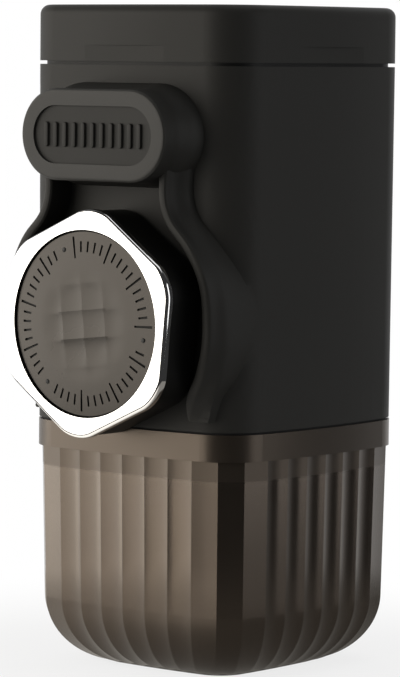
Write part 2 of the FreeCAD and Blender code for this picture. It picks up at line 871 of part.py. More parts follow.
def make_cup():
    round_off = float(s.cup_foot_round)
    corner = float(s.corner_radius - s.cup_corner_inset)
    shoulder = shoulder_level()
    sections = [(shoulder, cup_half_width(shoulder)), (round_off, cup_half_width(round_off))]
    for step in (1, 2, 3, 4, 5):
        angle = math.radians(step * 15)
        level = round_off * (1 - math.sin(angle))
        sections.append((level, cup_half_width(level) - round_off * (1 - math.cos(angle))))
    depth = float(s.flute_depth)

    def shell_wires(offset, flutes):
        wires = []
        for level, half in sections:
            width = half - offset
            bend = corner * half / sections[0][1] - offset
            if flutes:
                wires.append(fluted_wire(width, bend, level, flutes))
            else:
                wires.append(outline_wire(width, bend, level))
        return wires

    straight = Part.makeLoft(shell_wires(0, depth)[:2], True, True)
    foot = Part.makeLoft(shell_wires(0, depth)[1:], True)
    base_level, base_half = sections[-1]
    rim = base_half - float(s.cup_foot_inset)
    base = drafted_block(
        rim - float(s.cup_foot_bevel), rim, corner * base_half / sections[0][1], 0.0, base_level
    )
    band_half = float(s.cup_band_half_width)
    high = float(s.cup_height)
    band = drafted_block(band_half, band_half, float(s.corner_radius), shoulder, high)
    outside = straight.fuse([foot, base, band]).removeSplitter()
    wall = float(s.cup_wall)
    floor = float(s.cup_floor)
    mouth = cup_half_width(high) - wall
    bore = drafted_block(cup_half_width(round_off) - wall, mouth, corner - wall, round_off, high)
    inner_round = round_off - floor
    bowl_wires = []
    for step in (0, 1, 2, 3, 4):
        angle = math.radians(step * 20)
        half = cup_half_width(round_off) - wall - inner_round * (1 - math.cos(angle))
        share = half / (cup_half_width(round_off) - wall)
        bowl_wires.append(outline_wire(
            half, (corner - wall) * share, round_off - inner_round * math.sin(angle)
        ))
    bowl = Part.makeLoft(bowl_wires, True)
    return shape_node("cup", outside.cut([bore, bowl]))


def make_cup_seal():
    body = new_body("cup_seal")
    low = s.cup_height - s.head_spigot_depth + s.touch_gap
    corner = s.corner_radius - s.cup_wall - s.seal_clearance
    add_prism(body, low, s.cup_height,
              lambda sketch: draw_outline(sketch, SEAL_HALF_WIDTH, corner))
    add_prism(body, s.cup_height, CASING_FOOT, lambda sketch: draw_outline(
        sketch, s.casing_foot_half_width - s.parting_inset, s.corner_radius - s.parting_inset))
    cut_prism(body, low, CASING_FOOT, lambda sketch: draw_outline(
        sketch, SPIGOT_HALF_WIDTH + s.running_fit, corner - s.seal_thickness))
    return body


# ------------------------------------------------------------------ lid and tank


def make_tank_lid():
    body = new_body("tank_lid")
    half = s.casing_half_width
    cover = add_prism(body, LID_FOOT, LID_TOP,
                      lambda sketch: draw_outline(sketch, half, s.corner_radius))
    soften(body, cover, "Fillet", s.lid_edge_round, lambda edge: is_level(edge, LID_TOP))
    roof = LID_TOP - s.lid_wall
    cut_prism(body, LID_FOOT, roof, lambda sketch: draw_outline(
        sketch, half - s.lid_wall, s.corner_radius - s.lid_wall))
    skirt_foot = LID_FOOT - s.lid_skirt_depth
    add_prism(body, skirt_foot, roof + s.touch_gap, circles(SKIRT_RADIUS, CENTRE))
    cut_prism(body, skirt_foot, roof, circles(SKIRT_RADIUS - s.lid_skirt_wall, CENTRE))
    groove_low = skirt_foot + s.gasket_height / 2
    groove_floor = SKIRT_RADIUS - s.gasket_depth
    add_turned(body, [
        (groove_floor, groove_low), (s.casing_half_width, groove_low),
        (s.casing_half_width, groove_low + s.gasket_height),
        (groove_floor, groove_low + s.gasket_height)], "Groove")
    flat = half - s.thumb_flat_depth
    reach = s.thumb_flat_half_length
    outside = half + s.lid_wall

    def draw_flats(sketch):
        draw_box(sketch, -reach, reach, -outside, -flat)
        draw_box(sketch, -reach, reach, flat, outside)
        draw_box(sketch, -outside, -flat, -reach, reach)
        draw_box(sketch, flat, outside, -reach, reach)

    cut_prism(body, LID_FOOT, LID_FOOT + s.thumb_flat_height, draw_flats)
    return body


def make_lid_gasket():
    low = LID_FOOT - s.lid_skirt_depth + s.gasket_height / 2 + s.running_fit
    high = low + s.gasket_height - 2 * s.running_fit
    inner = SKIRT_RADIUS - s.gasket_depth + s.running_fit
    outer = s.tank_bore_radius - s.touch_gap
    lip = s.gasket_height / 4
    return turned("lid_gasket", [
        (inner, low), (outer - lip, low), (outer, low + lip), (outer, high - lip),
        (outer - lip, high), (inner, high)])


def make_water_tank():
    body = turned("water_tank", [
        (0, TANK_UNDERSIDE), (TANK_RADIUS, TANK_UNDERSIDE), (TANK_RADIUS, LID_FOOT),
        (s.tank_bore_radius, LID_FOOT), (s.tank_bore_radius, TANK_FLOOR), (0, TANK_FLOOR)])
    rim = s.casing_half_width - s.groove_inset

    def draw_rim(sketch):
        draw_outline(sketch, rim, s.corner_radius - s.groove_inset)
        draw_circle(sketch, TANK_RADIUS - s.touch_gap)

    add_prism(body, CASING_TOP, LID_FOOT, draw_rim)
    cut_prism(body, TANK_UNDERSIDE, TANK_FLOOR, circles(s.drain_radius, [(0, s.valve_offset)]))
    return body


def make_tank_strainer():
    body = turned("tank_strainer", [
        (0, TANK_FLOOR), (s.strainer_radius, TANK_FLOOR),
        (s.strainer_radius - s.strainer_height, TANK_FLOOR + s.strainer_height),
        (0, TANK_FLOOR + s.strainer_height)], over_valves)
    holes = CENTRE + ring_of(6, s.strainer_hole_pitch) + ring_of(12, s.strainer_hole_pitch * 2)
    cut_prism(body, TANK_FLOOR, TANK_FLOOR + s.strainer_height,
              circles(s.strainer_hole_radius, holes))
    return body


def make_tank_outlet_seal():
    return turned("tank_outlet_seal", [
        (s.drain_radius, INLET_TOP), (VALVE_BOSS_RADIUS, INLET_TOP),
        (VALVE_BOSS_RADIUS, TANK_UNDERSIDE), (s.drain_radius, TANK_UNDERSIDE)], over_valves)


# ------------------------------------------------------------------ pump


def cylinder(name, radius, bottom, top, x=0, y=0):
    """A standing Part cylinder between two levels."""
    block = doc.addObject("Part::Cylinder", name)
    bind(block, "Radius", radius)
    bind(block, "Height", top - bottom)
    block.Placement = FreeCAD.Placement(
        FreeCAD.Vector(float(x), float(y), float(bottom)), FreeCAD.Rotation()
    )
    for letter, value in zip("xyz", (x, y, bottom)):
        bind(block, "Placement.Base." + letter, value)
    return block


def draw_below_flat(sketch):
    """What a round flange loses so that it stands clear of the brew head's plate."""
    reach = s.pump_flange_radius + s.pump_wall
    draw_box(sketch, -reach, reach, -reach, -FLANGE_FLAT)


def make_pump_housing():
    """Barrel with a front cup for the knob's sleeve, and a valve boss above and below."""
    barrel = turned("pump_barrel", [
        (0, -s.pump_back_depth - s.pump_wall),
        (PUMP_RADIUS - s.pump_wall, -s.pump_back_depth - s.pump_wall),
        (PUMP_RADIUS, -s.pump_back_depth),
        (PUMP_RADIUS, PUMP_CUP_FLOOR - s.pump_wall),
        (s.pump_cup_radius + s.pump_cup_wall, PUMP_CUP_FLOOR - s.pump_wall),
        (s.pump_cup_radius + s.pump_cup_wall, PUMP_CUP_FLOOR),
        (s.pump_flange_radius, PUMP_CUP_FLOOR), (s.pump_flange_radius, PUMP_CUP_FRONT),
        (0, PUMP_CUP_FRONT)], on_pump_axis)
    places = PUMP_SCREW_PLACES

    def draw_bars(sketch):
        for rise in (UPPER_EAR_RISE, -LOWER_EAR_RISE):
            draw_box(sketch, -s.pump_screw_spread, s.pump_screw_spread,
                     rise - s.pump_ear_radius, rise + s.pump_ear_radius)

    add_prism(barrel, PUMP_CUP_FLOOR, PUMP_CUP_FRONT, draw_bars)
    add_prism(barrel, PUMP_CUP_FLOOR, PUMP_CUP_FRONT, circles(s.pump_ear_radius, places))
    cut_prism(barrel, PUMP_CUP_FLOOR - s.pump_wall, PUMP_CUP_FRONT, draw_below_flat)
    cut_prism(barrel, PUMP_CUP_FLOOR, PUMP_CUP_FRONT,
              circles(s.screw_shank_radius + s.fitting_gap, places))
    boss = cylinder("valve_boss", VALVE_BOSS_RADIUS, OUTLET_FOOT, INLET_TOP, 0, s.valve_offset)
    bore = turned("pump_bore", [
        (0, -s.pump_back_depth), (s.pump_bore_radius, -s.pump_back_depth),
        (s.pump_bore_radius, PUMP_CUP_FLOOR), (s.pump_cup_radius, PUMP_CUP_FLOOR),
        (s.pump_cup_radius, PUMP_CUP_FRONT), (0, PUMP_CUP_FRONT)], on_pump_axis)
    seat = cylinder("valve_seats", s.valve_seat_radius, OUTLET_SEAT - s.boss_wall, INLET_TOP,
                    0, s.valve_offset)
    upper = cylinder("inlet_chamber", VALVE_CHAMBER, PUMP_AXIS, INLET_SEAT,
                     0, s.valve_offset)
    lower = cylinder("outlet_chamber", VALVE_CHAMBER, OUTLET_FOOT, OUTLET_SEAT,
                     0, s.valve_offset)
    whole = doc.addObject("Part::MultiFuse", "pump_solid")
    whole.Shapes = [barrel, boss]
    hollow = doc.addObject("Part::MultiFuse", "pump_hollow")
    hollow.Shapes = [bore, seat, upper, lower]
    housing = doc.addObject("Part::Cut", "pump_housing")
    housing.Label = "pump_housing"
    housing.Base = whole
    housing.Tool = hollow
    return housing


def make_rod_guide():
    plug = s.pump_bore_radius - s.running_fit
    back = PUMP_CUP_FLOOR - s.guide_thickness
    bore = s.rod_radius + s.running_fit
    return turned("rod_guide", [
        (bore, back + s.piston_ring_depth), (bore + s.piston_ring_depth, back + s.piston_ring_depth),
        (bore + s.piston_ring_depth, back), (plug, back), (plug, PUMP_CUP_FLOOR),
        (s.guide_flange_radius, PUMP_CUP_FLOOR), (s.guide_flange_radius, GUIDE_FACE),
        (bore, GUIDE_FACE)], on_pump_axis)


def make_rod_seal():
    back = PUMP_CUP_FLOOR - s.guide_thickness
    inner = s.rod_radius + s.running_fit
    outer = inner + s.piston_ring_depth - s.running_fit
    depth = s.piston_ring_depth - s.running_fit
    return turned("rod_seal", [
        (inner, back), (outer, back), (outer, back + depth), (inner, back + depth)], on_pump_axis)


def make_piston_rod():
    stub = s.rod_stub_radius
    front = HUB_FRONT + s.running_fit
    body = turned("piston_rod", [
        (0, PISTON_BACK + s.running_fit), (stub, PISTON_BACK + s.running_fit),
        (stub, PISTON_FRONT), (s.rod_radius, PISTON_FRONT), (s.rod_radius, ROD_SEAT),
        (s.rod_flange_radius, ROD_SEAT), (s.rod_flange_radius, ROD_SEAT + s.rod_flange_thickness),
        (stub, ROD_SEAT + s.rod_flange_thickness), (stub, front), (0, front)], on_pump_axis)
    cut_prism(body, front - s.knob_screw_length - s.fitting_gap, front,
              circles(s.screw_shank_radius + s.running_fit, CENTRE))
    return body


def make_piston():
    plug = s.pump_bore_radius - s.piston_clearance
    floor = plug - s.piston_ring_depth
    low = PISTON_BACK + (s.piston_thickness - s.piston_ring_height) / 2
    high = low + s.piston_ring_height
    bore = s.rod_stub_radius + s.running_fit
    return turned("piston", [
        (bore, PISTON_BACK), (plug, PISTON_BACK), (plug, low), (floor, low), (floor, high),
        (plug, high), (plug, PISTON_FRONT), (bore, PISTON_FRONT)], on_pump_axis)


def make_piston_seal():
    plug = s.pump_bore_radius - s.piston_clearance
    inner = plug - s.piston_ring_depth + s.running_fit
    outer = s.pump_bore_radius - s.running_fit
    low = PISTON_BACK + (s.piston_thickness - s.piston_ring_height) / 2 + s.running_fit
    high = low + s.piston_ring_height - 2 * s.running_fit
    return turned("piston_seal", [
        (inner, low), (outer, low), (outer, high), (inner, high)], on_pump_axis)


def make_valve(name, seat):
    """Ball, spring and retainer of one check valve whose seat faces down."""
    centre = seat - BALL_DROP - s.running_fit
    is_inlet = name == "inlet"
    bore_top = PUMP_AXIS + s.pump_bore_radius + s.valve_clearance
    low = bore_top if is_inlet else OUTLET_FOOT + s.valve_clearance
    ball = doc.addObject("Part::Sphere", name + "_ball")
    ball.Label = name + "_ball"
    bind(ball, "Radius", s.ball_radius)
    ball.Placement.Base = FreeCAD.Vector(0, float(s.valve_offset), float(centre))
    ball.setExpression("Placement.Base.y", s.valve_offset.text)
    ball.setExpression("Placement.Base.z", centre.text)
    retainer_top = low + s.retainer_thickness
    outer = VALVE_CHAMBER - s.running_fit
    retainer = turned(name + "_retainer", [
        (s.retainer_hole_radius, low), (outer, low), (outer, retainer_top),
        (s.retainer_hole_radius, retainer_top)], over_valves)
    spring_top = centre - SPRING_DROP - s.running_fit
    spring = coil(name + "_spring", s.valve_spring_radius, s.valve_wire, retainer_top,
                  spring_top, s.valve_spring_turns, over_valves)
    return [ball, retainer, spring]


def make_lock_ring():
    """Ring in the casing's front with three inward hooks that hold the knob down."""
    front = s.casing_foot_half_width + s.running_fit
    shoulder = PUMP_CUP_FRONT + s.lock_ring_flange_thickness
    body = turned("lock_ring", [
        (s.lock_ring_bore, PUMP_CUP_FRONT), (s.lock_ring_flange_radius, PUMP_CUP_FRONT),
        (s.lock_ring_flange_radius, shoulder), (s.lock_ring_radius, shoulder),
        (s.lock_ring_radius, front), (s.lock_ring_bore, front)], on_pump_axis)
    cut_prism(body, PUMP_CUP_FRONT, shoulder, draw_below_flat)
    inner = s.sleeve_radius + s.hook_gap

    def draw_hooks(sketch):
        for step in range(3):
            draw_sector(sketch, inner, s.lock_ring_bore + s.hook_root, 120.0 * step, s.hook_sweep)

    add_prism(body, front - s.hook_thickness, front, draw_hooks)
    return body


def screw_profile(tip, seat, shank, head_radius, head_height):
    """A screw whose head sits on seat and whose shank reaches tip; seat may be above or below."""
    top = seat + head_height
    return [(0, tip), (shank, tip), (shank, seat), (head_radius, seat), (head_radius, top), (0, top)]


def screw_group(name, places, tip, seat, frame=None):
    """Equal screws in one node, each its own solid."""
    body = turned(name + "_one", screw_profile(
        tip, seat, s.screw_shank_radius, s.screw_head_radius,
        s.screw_head_height if float(seat) > float(tip) else -s.screw_head_height))
    socket = s.screw_head_radius / 2
    top = seat + s.screw_head_height if float(seat) > float(tip) else seat
    floor = top - s.screw_head_height
    if float(seat) > float(tip):
        cut_prism(body, floor + s.screw_head_height / 2, top, circles(socket, CENTRE))
    else:
        cut_prism(body, floor, floor + s.screw_head_height / 2, circles(socket, CENTRE))
    copies = []
    for number, (x, y) in enumerate(places):
        copy = doc.addObject("App::Link", "%s_%d" % (name, number))
        copy.LinkedObject = body
        copy.LinkTransform = True
        copy.Placement = FreeCAD.Placement(
            FreeCAD.Vector(float(x), float(y), 0), FreeCAD.Rotation()
        )
        bind(copy, "Placement.Base.x", x)
        bind(copy, "Placement.Base.y", y)
        copies.append(copy)
    group = doc.addObject("Part::Compound", name)
    group.Links = copies
    group.Label = name
    if frame:
        frame(group)
    return group


# ------------------------------------------------------------------ knob


# Half the angle that one side of a hexagon spans, seen from its middle.
HALF_SIDE = 30.0


def make_knob_body():
    """Six-sided skirt with ribs inside, a sleeve with three lugs, and a hub on the rod."""
    body = new_body("knob_body", on_pump_axis)
    reach = s.knob_reach - s.knob_skirt_inset
    skirt = add_prism(body, KNOB_BACK, KNOB_RING,
                      lambda sketch: draw_hexagon(sketch, reach))
    skirt = soften(body, skirt, "Fillet", s.knob_corner_radius, is_upright)
    inside = reach - s.knob_wall / cosine(HALF_SIDE)
    doc.recompute()
    cut_prism(body, KNOB_BACK, KNOB_PLATE,
              circles(inside * cosine(HALF_SIDE), CENTRE))
    lug_back = PUMP_CUP_FRONT + s.fitting_gap
    plate_skin = KNOB_PLATE + s.touch_gap

    def draw_sleeve(sketch):
        draw_circle(sketch, s.sleeve_radius)
        draw_circle(sketch, s.sleeve_radius - s.sleeve_wall)

    def draw_lugs(sketch):
        for step in range(3):
            draw_sector(sketch, s.sleeve_radius - s.sleeve_wall / 2,
                        s.sleeve_radius + s.lug_reach, 60.0 + 120.0 * step, s.lug_sweep)

    def draw_ribs(sketch):
        for step in range(6):
            draw_sector(sketch, s.sleeve_radius - s.sleeve_wall / 2,
                        inside * cosine(HALF_SIDE) + s.sleeve_wall / 2, 60.0 * step, s.rib_sweep)

    add_prism(body, lug_back, plate_skin, draw_sleeve)
    add_prism(body, lug_back, lug_back + s.lug_thickness, draw_lugs)
    add_prism(body, KNOB_BACK + s.knob_wall, plate_skin, draw_ribs)
    add_prism(body, HUB_BACK, KNOB_PLATE + s.touch_gap, circles(s.hub_radius, CENTRE))
    cut_prism(body, HUB_FRONT, KNOB_RING, circles(s.hub_pocket_radius, CENTRE))
    cut_prism(body, HUB_BACK, KNOB_RING,
              circles(s.rod_stub_radius + s.running_fit, CENTRE))
    return body


def make_knob_ring():
    body = new_body("knob_ring", on_pump_axis)
    plate = add_prism(body, KNOB_RING, KNOB_FACE,
                      lambda sketch: draw_hexagon(sketch, s.knob_reach))
    plate = soften(body, plate, "Fillet", s.knob_corner_radius, is_upright)
    plate = soften(body, plate, "Chamfer", s.knob_bevel,
                   lambda edge: is_level(edge, KNOB_FACE))
    doc.recompute()
    bore = s.dial_radius + s.dial_clearance
    cut_prism(body, KNOB_RING, KNOB_FACE, circles(bore, CENTRE))
    return body


def make_knob_insert():
    face = KNOB_FACE - s.touch_gap
    edge = s.knob_bevel / 2
    return turned("knob_insert", [
        (0, KNOB_RING), (s.dial_radius, KNOB_RING),
        (s.dial_radius, face - edge), (s.dial_radius - edge, face), (0, face)], on_pump_axis)


def make_knob_screw():
    seat = HUB_FRONT + s.running_fit
    tip = seat - s.knob_screw_length
    body = turned("knob_screw", screw_profile(
        tip, seat, s.screw_shank_radius, s.knob_screw_head_radius, s.knob_screw_head_height),
        on_pump_axis)
    top = seat + s.knob_screw_head_height
    cut_prism(body, top - s.knob_screw_head_height / 2, top,
              circles(s.screw_shank_radius, CENTRE))
    return body


def make_return_spring():
    return coil("return_spring", s.return_spring_radius, s.return_wire, GUIDE_FACE, ROD_SEAT,
                s.return_spring_turns, on_pump_axis)


# ------------------------------------------------------------------ brew head and filter


def make_brew_head():
    """Plate in the casing's foot, with a spigot for the cup and ledges for the filter."""
    body = new_body("brew_head")
    plate_half = CASING_FRONT_WALL - s.fitting_gap
    corner = s.corner_radius - s.casing_wall - s.fitting_gap
    low = s.cup_height - s.head_spigot_depth
    add_prism(body, CASING_FOOT, HEAD_TOP,
              lambda sketch: draw_outline(sketch, plate_half, corner))
    spigot_corner = s.corner_radius - s.cup_wall - s.seal_clearance - s.seal_thickness

    def draw_spigot(sketch):
        draw_outline(sketch, SPIGOT_HALF_WIDTH, spigot_corner)
        draw_circle(sketch, s.head_bore_radius)

    def draw_chamber(sketch):
        draw_circle(sketch, s.head_chamber_radius)
        draw_circle(sketch, s.head_boss_radius)

    def draw_ledges(sketch):
        for step in range(3):
            draw_sector(sketch, s.head_bore_radius - s.ledge_width,
                        s.head_bore_radius + s.ledge_width / 2, 60.0 + 120.0 * step,
                        s.ledge_sweep)

    add_prism(body, s.cup_height, CASING_FOOT,
              lambda sketch: draw_outline(sketch, SPIGOT_HALF_WIDTH, spigot_corner))
    add_prism(body, low, s.cup_height, draw_spigot)
    add_prism(body, LEDGE_TOP - s.ledge_thickness, LEDGE_TOP, draw_ledges)
    cut_prism(body, s.cup_height, s.cup_height + s.head_chamber_depth, draw_chamber)
    cut_prism(body, s.cup_height, s.cup_height + s.head_plate_thickness / 2 + s.head_chamber_depth,
              circles(s.screw_shank_radius + s.running_fit, CENTRE))
    inlet = [(0, s.valve_offset)]
    cut_prism(body, s.cup_height, HEAD_TOP, circles(s.drain_radius, inlet))
    cut_prism(body, HEAD_TOP - s.washer_thickness, HEAD_TOP, circles(s.drain_radius * 2, inlet))
    places = corners_of(HEAD_SCREW_SPREAD, HEAD_SCREW_SPREAD)
    cut_prism(body, low, HEAD_TOP, circles(s.screw_shank_radius + s.fitting_gap, places))
    cut_prism(body, low, s.cup_height + s.head_chamber_depth,
              circles(s.screw_head_radius + s.fitting_gap, places))
    return body


def make_head_inlet_seal():
    inner = s.drain_radius + s.touch_gap
    outer = s.drain_radius * 2 - s.running_fit
    low = HEAD_TOP - s.washer_thickness
    return turned("head_inlet_seal", [
        (inner, low), (outer, low), (outer, OUTLET_FOOT), (inner, OUTLET_FOOT)], over_valves)


def make_shower_screen():
    """Thin disc pierced by rings of holes that spread the water over the coffee."""
    low = s.cup_height - s.screen_thickness
    body = turned("shower_screen", [
        (s.screw_shank_radius + s.running_fit, low), (s.screen_radius, low),
        (s.screen_radius, s.cup_height), (s.screw_shank_radius + s.running_fit, s.cup_height)])
    holes = []
    for circle in range(1, 5):
        holes += ring_of(6 * circle, s.screen_first_ring + s.screen_hole_pitch * (circle - 1))
    cut_prism(body, low, s.cup_height, circles(s.screen_hole_radius, holes))
    return body


def make_shower_screw():
    seat = s.cup_height - s.screen_thickness
    body = turned("shower_screw", screw_profile(
        s.cup_height + s.head_plate_thickness / 2 + s.head_chamber_depth - s.fitting_gap, seat,
        s.screw_shank_radius, s.screw_head_radius, -s.screw_head_height))
    cut_prism(body, seat - s.screw_head_height, seat - s.screw_head_height / 2,
              circles(s.screw_shank_radius, CENTRE))
    return body


def make_brew_gasket():
    inner = s.screen_radius + s.fitting_gap
    outer = inner + s.brew_gasket_width
    low = s.cup_height - s.brew_gasket_thickness
    lip = s.brew_gasket_thickness / 4
    return turned("brew_gasket", [
        (inner + lip, low), (outer - lip, low), (outer, low + lip), (outer, s.cup_height),
        (inner, s.cup_height), (inner, low + lip)])


def make_portafilter():
    """Holder with three lugs round its rim and an outlet over the spout."""
    bore = s.filter_radius - s.filter_wall
    floor = FILTER_FOOT + s.filter_floor
    outlet = s.spout_tip_radius - s.spout_wall
    body = turned("portafilter", [
        (outlet, FILTER_FOOT), (s.filter_radius - s.filter_wall, FILTER_FOOT),
        (s.filter_radius, FILTER_FOOT + s.filter_wall), (s.filter_radius, FILTER_RIM),
        (bore, FILTER_RIM), (bore, floor + s.filter_wall), (bore - s.filter_wall, floor),
        (outlet, floor)])

    def draw_lugs(sketch):
        for step in range(3):
            draw_sector(sketch, bore + s.filter_wall / 2, s.filter_radius + s.filter_lug_reach,
                        60.0 + 120.0 * step, s.filter_lug_sweep)

    add_prism(body, FILTER_RIM - s.ledge_thickness, FILTER_RIM, draw_lugs)
    return body


def make_coffee_basket():
    """Thin steel basket with a turned-out rim and a pierced floor."""
    skin = s.basket_wall
    floor = BASKET_TOP - s.basket_depth
    inner = s.basket_radius - skin
    narrow = s.basket_radius - s.basket_rim_width
    body = turned("coffee_basket", [
        (0, floor), (narrow, floor), (s.basket_radius, BASKET_TOP - s.basket_rim_width),
        (s.basket_radius, BASKET_TOP - skin),
        (s.basket_radius + s.basket_rim_width, BASKET_TOP - skin),
        (s.basket_radius + s.basket_rim_width, BASKET_TOP), (inner, BASKET_TOP),
        (inner, BASKET_TOP - s.basket_rim_width), (narrow - skin, floor + skin),
        (0, floor + skin)])
    holes = list(CENTRE)
    for circle in range(1, 4):
        holes += ring_of(6 * circle, s.screen_hole_pitch * circle)
    cut_prism(body, floor, floor + skin, circles(s.screen_hole_radius, holes))
    return body


def make_spout():
    top = FILTER_FOOT
    tip = top - s.spout_length
    outlet = s.spout_tip_radius - s.spout_wall
    flange = s.spout_wall
    return turned("spout", [
        (outlet, tip), (s.spout_tip_radius, tip), (s.spout_tip_radius, tip + s.spout_length / 2),
        (s.spout_top_radius - flange, top - flange * 2), (s.spout_top_radius, top - flange),
        (s.spout_top_radius, top), (outlet, top)])


# ------------------------------------------------------------------ build, check and write

parts = [
    make_casing(),
    make_cup(),
    make_cup_seal(),
    make_tank_lid(),
    make_lid_gasket(),
    make_water_tank(),
    make_tank_strainer(),
    make_tank_outlet_seal(),
    make_pump_housing(),
    make_rod_guide(),
    make_rod_seal(),
    make_piston_rod(),
    make_piston(),
    make_piston_seal(),
    make_return_spring(),
    make_lock_ring(),
    screw_group("pump_screws", PUMP_SCREW_PLACES,
                PUMP_SCREW_TIP, PUMP_CUP_FLOOR, on_pump_axis),
    make_knob_body(),
    make_knob_ring(),
    make_knob_insert(),
    make_knob_screw(),
    make_brew_head(),
    make_head_inlet_seal(),
    make_shower_screen(),
    make_shower_screw(),
    make_brew_gasket(),
    screw_group("head_screws", corners_of(HEAD_SCREW_SPREAD, HEAD_SCREW_SPREAD),
                HEAD_TOP + s.head_screw_reach, s.cup_height + s.head_chamber_depth),
    make_portafilter(),
    make_coffee_basket(),
    make_spout(),
]
parts += make_valve("inlet", INLET_SEAT)
parts += make_valve("outlet", OUTLET_SEAT)

doc.recompute()
for item in doc.Objects:
    if "Invalid" in item.State or "Error" in item.State:
        raise RuntimeError("%s failed: %s" % (item.Label, item.State))
for part in parts:
    if part.Shape.isNull() or not part.Shape.isValid():
        raise RuntimeError("%s has no valid shape" % part.Label)
    if not part.Shape.Solids:
        raise RuntimeError("%s has no solid" % part.Label)

os.makedirs("parts", exist_ok=True)
for part in parts:
    part.Shape.exportStep("parts/%s.step" % part.Label)
    box = part.Shape.BoundBox
    print("%-18s %2d solids %9.1f mm3  x %.2f..%.2f  y %.2f..%.2f  z %.2f..%.2f" % (
        part.Label, len(part.Shape.Solids), part.Shape.Volume, box.XMin, box.XMax,
        box.YMin, box.YMax, box.ZMin, box.ZMax))
print("parts:", len(parts))
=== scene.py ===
"""Looks of a hand-pumped espresso maker that stands on its own fluted cup.

+Z up, the pump knob faces -Y.  The camera, the studio and the materials are in metres.  The
sizes of modelled pieces are in millimetres, and turn into metres where a mesh is finished.
"""
import json
import math

import bmesh
import bpy
from mathutils import Matrix, Vector


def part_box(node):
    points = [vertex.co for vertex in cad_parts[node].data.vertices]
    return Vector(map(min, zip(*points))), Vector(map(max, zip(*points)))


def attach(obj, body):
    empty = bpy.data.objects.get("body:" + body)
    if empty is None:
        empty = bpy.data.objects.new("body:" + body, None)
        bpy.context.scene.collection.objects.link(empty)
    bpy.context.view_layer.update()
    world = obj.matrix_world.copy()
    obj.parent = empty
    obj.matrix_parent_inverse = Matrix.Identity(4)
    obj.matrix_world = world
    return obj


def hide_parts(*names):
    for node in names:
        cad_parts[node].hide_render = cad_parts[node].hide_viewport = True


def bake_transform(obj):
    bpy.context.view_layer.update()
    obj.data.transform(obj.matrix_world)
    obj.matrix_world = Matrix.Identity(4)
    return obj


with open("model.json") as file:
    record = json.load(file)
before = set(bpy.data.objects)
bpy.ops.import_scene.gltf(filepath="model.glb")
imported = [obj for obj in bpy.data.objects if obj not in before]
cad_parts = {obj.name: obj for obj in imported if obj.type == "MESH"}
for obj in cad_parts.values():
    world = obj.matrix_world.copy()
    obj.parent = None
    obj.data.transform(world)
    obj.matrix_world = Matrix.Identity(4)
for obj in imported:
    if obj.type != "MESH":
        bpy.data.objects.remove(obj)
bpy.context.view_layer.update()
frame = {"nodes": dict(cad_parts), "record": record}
MM = 0.001

# ------------------------------------------------------------------ numbers and meshes

ROUND_PROFILE = 0.5

# Lengths under which two places count as one: in millimetres, and in metres for a node's mesh.
SAME_PLACE = 0.001
MERGE_DISTANCE = 0.000002


def share_along(value, low, high):
    """How far a value lies on the way from low to high, from 0 to 1."""
    return min(max((value - low) / (high - low), 0.0), 1.0)


def eased(value, low, high):
    """The same share with a soft start and a soft end."""
    share = share_along(value, low, high)
    return share * share * (3 - 2 * share)


def only_vertices(items):
    return [item for item in items if isinstance(item, bmesh.types.BMVert)]


def edges_at(vertices):
    """The edges that meet at some vertices, each one once and always in the same order."""
    return list(dict.fromkeys(edge for vertex in vertices for edge in vertex.link_edges))


def merged_copy(node):
    """A node's mesh with its loose triangles joined, in metres."""
    mesh = bmesh.new()
    mesh.from_mesh(frame["nodes"][node].data)
    bmesh.ops.remove_doubles(mesh, verts=mesh.verts, dist=MERGE_DISTANCE)
    return mesh


def stand_up(mesh, height, depth):
    """Takes a mesh drawn flat, x right and y up with z towards the viewer, to the front."""
    turn = Matrix(((1, 0, 0, 0), (0, 0, -1, -depth), (0, 1, 0, height), (0, 0, 0, 1)))
    bmesh.ops.transform(mesh, matrix=turn, verts=mesh.verts)


def finish_mesh(mesh, name, materials, scale=MM, sharp_angle=None):
    """Turns a bmesh into an object at the origin with its materials.

    With a sharp angle, in degrees, it is shaded smooth except at edges that turn further.
    """
    if scale != 1.0:
        bmesh.ops.scale(mesh, vec=(scale, scale, scale), verts=mesh.verts)
    if sharp_angle is not None:
        limit = math.radians(sharp_angle)
        for face in mesh.faces:
            face.smooth = True
        for edge in mesh.edges:
            if len(edge.link_faces) == 2 and edge.calc_face_angle(0) > limit:
                edge.smooth = False
    data = bpy.data.meshes.new(name)
    mesh.to_mesh(data)
    mesh.free()
    item = bpy.data.objects.new(name, data)
    bpy.context.scene.collection.objects.link(item)
    for material in materials:
        data.materials.append(material)
    return item


# ------------------------------------------------------------------ nodes


def link(tree, source, output, target, value):
    tree.links.new(source.outputs[output], target.inputs[value])


def add_math(tree, operation, kind="ShaderNodeMath"):
    node = tree.nodes.new(kind)
    node.operation = operation
    return node


def add_distance_along(tree, place, coordinates, direction):
    """How far coordinates lie along a direction."""
    along = add_math(tree, "DOT_PRODUCT", "ShaderNodeVectorMath")
    along.inputs[1].default_value = direction
    link(tree, place, coordinates, along, 0)
    return along


def add_ramp(tree, source, output, span, levels, shape="SMOOTHSTEP"):
    """Takes a value that runs over a span to a pair of levels."""
    ramp = tree.nodes.new("ShaderNodeMapRange")
    ramp.interpolation_type = shape
    ramp.inputs["From Min"].default_value, ramp.inputs["From Max"].default_value = span
    ramp.inputs["To Min"].default_value, ramp.inputs["To Max"].default_value = levels
    link(tree, source, output, ramp, "Value")
    return ramp


def add_mix(tree, mask, output, unmasked, masked):
    """One shader where the mask is 0 and another where it is 1."""
    mix = tree.nodes.new("ShaderNodeMixShader")
    link(tree, mask, output, mix, 0)
    link(tree, unmasked, 0, mix, 1)
    link(tree, masked, 0, mix, 2)
    return mix


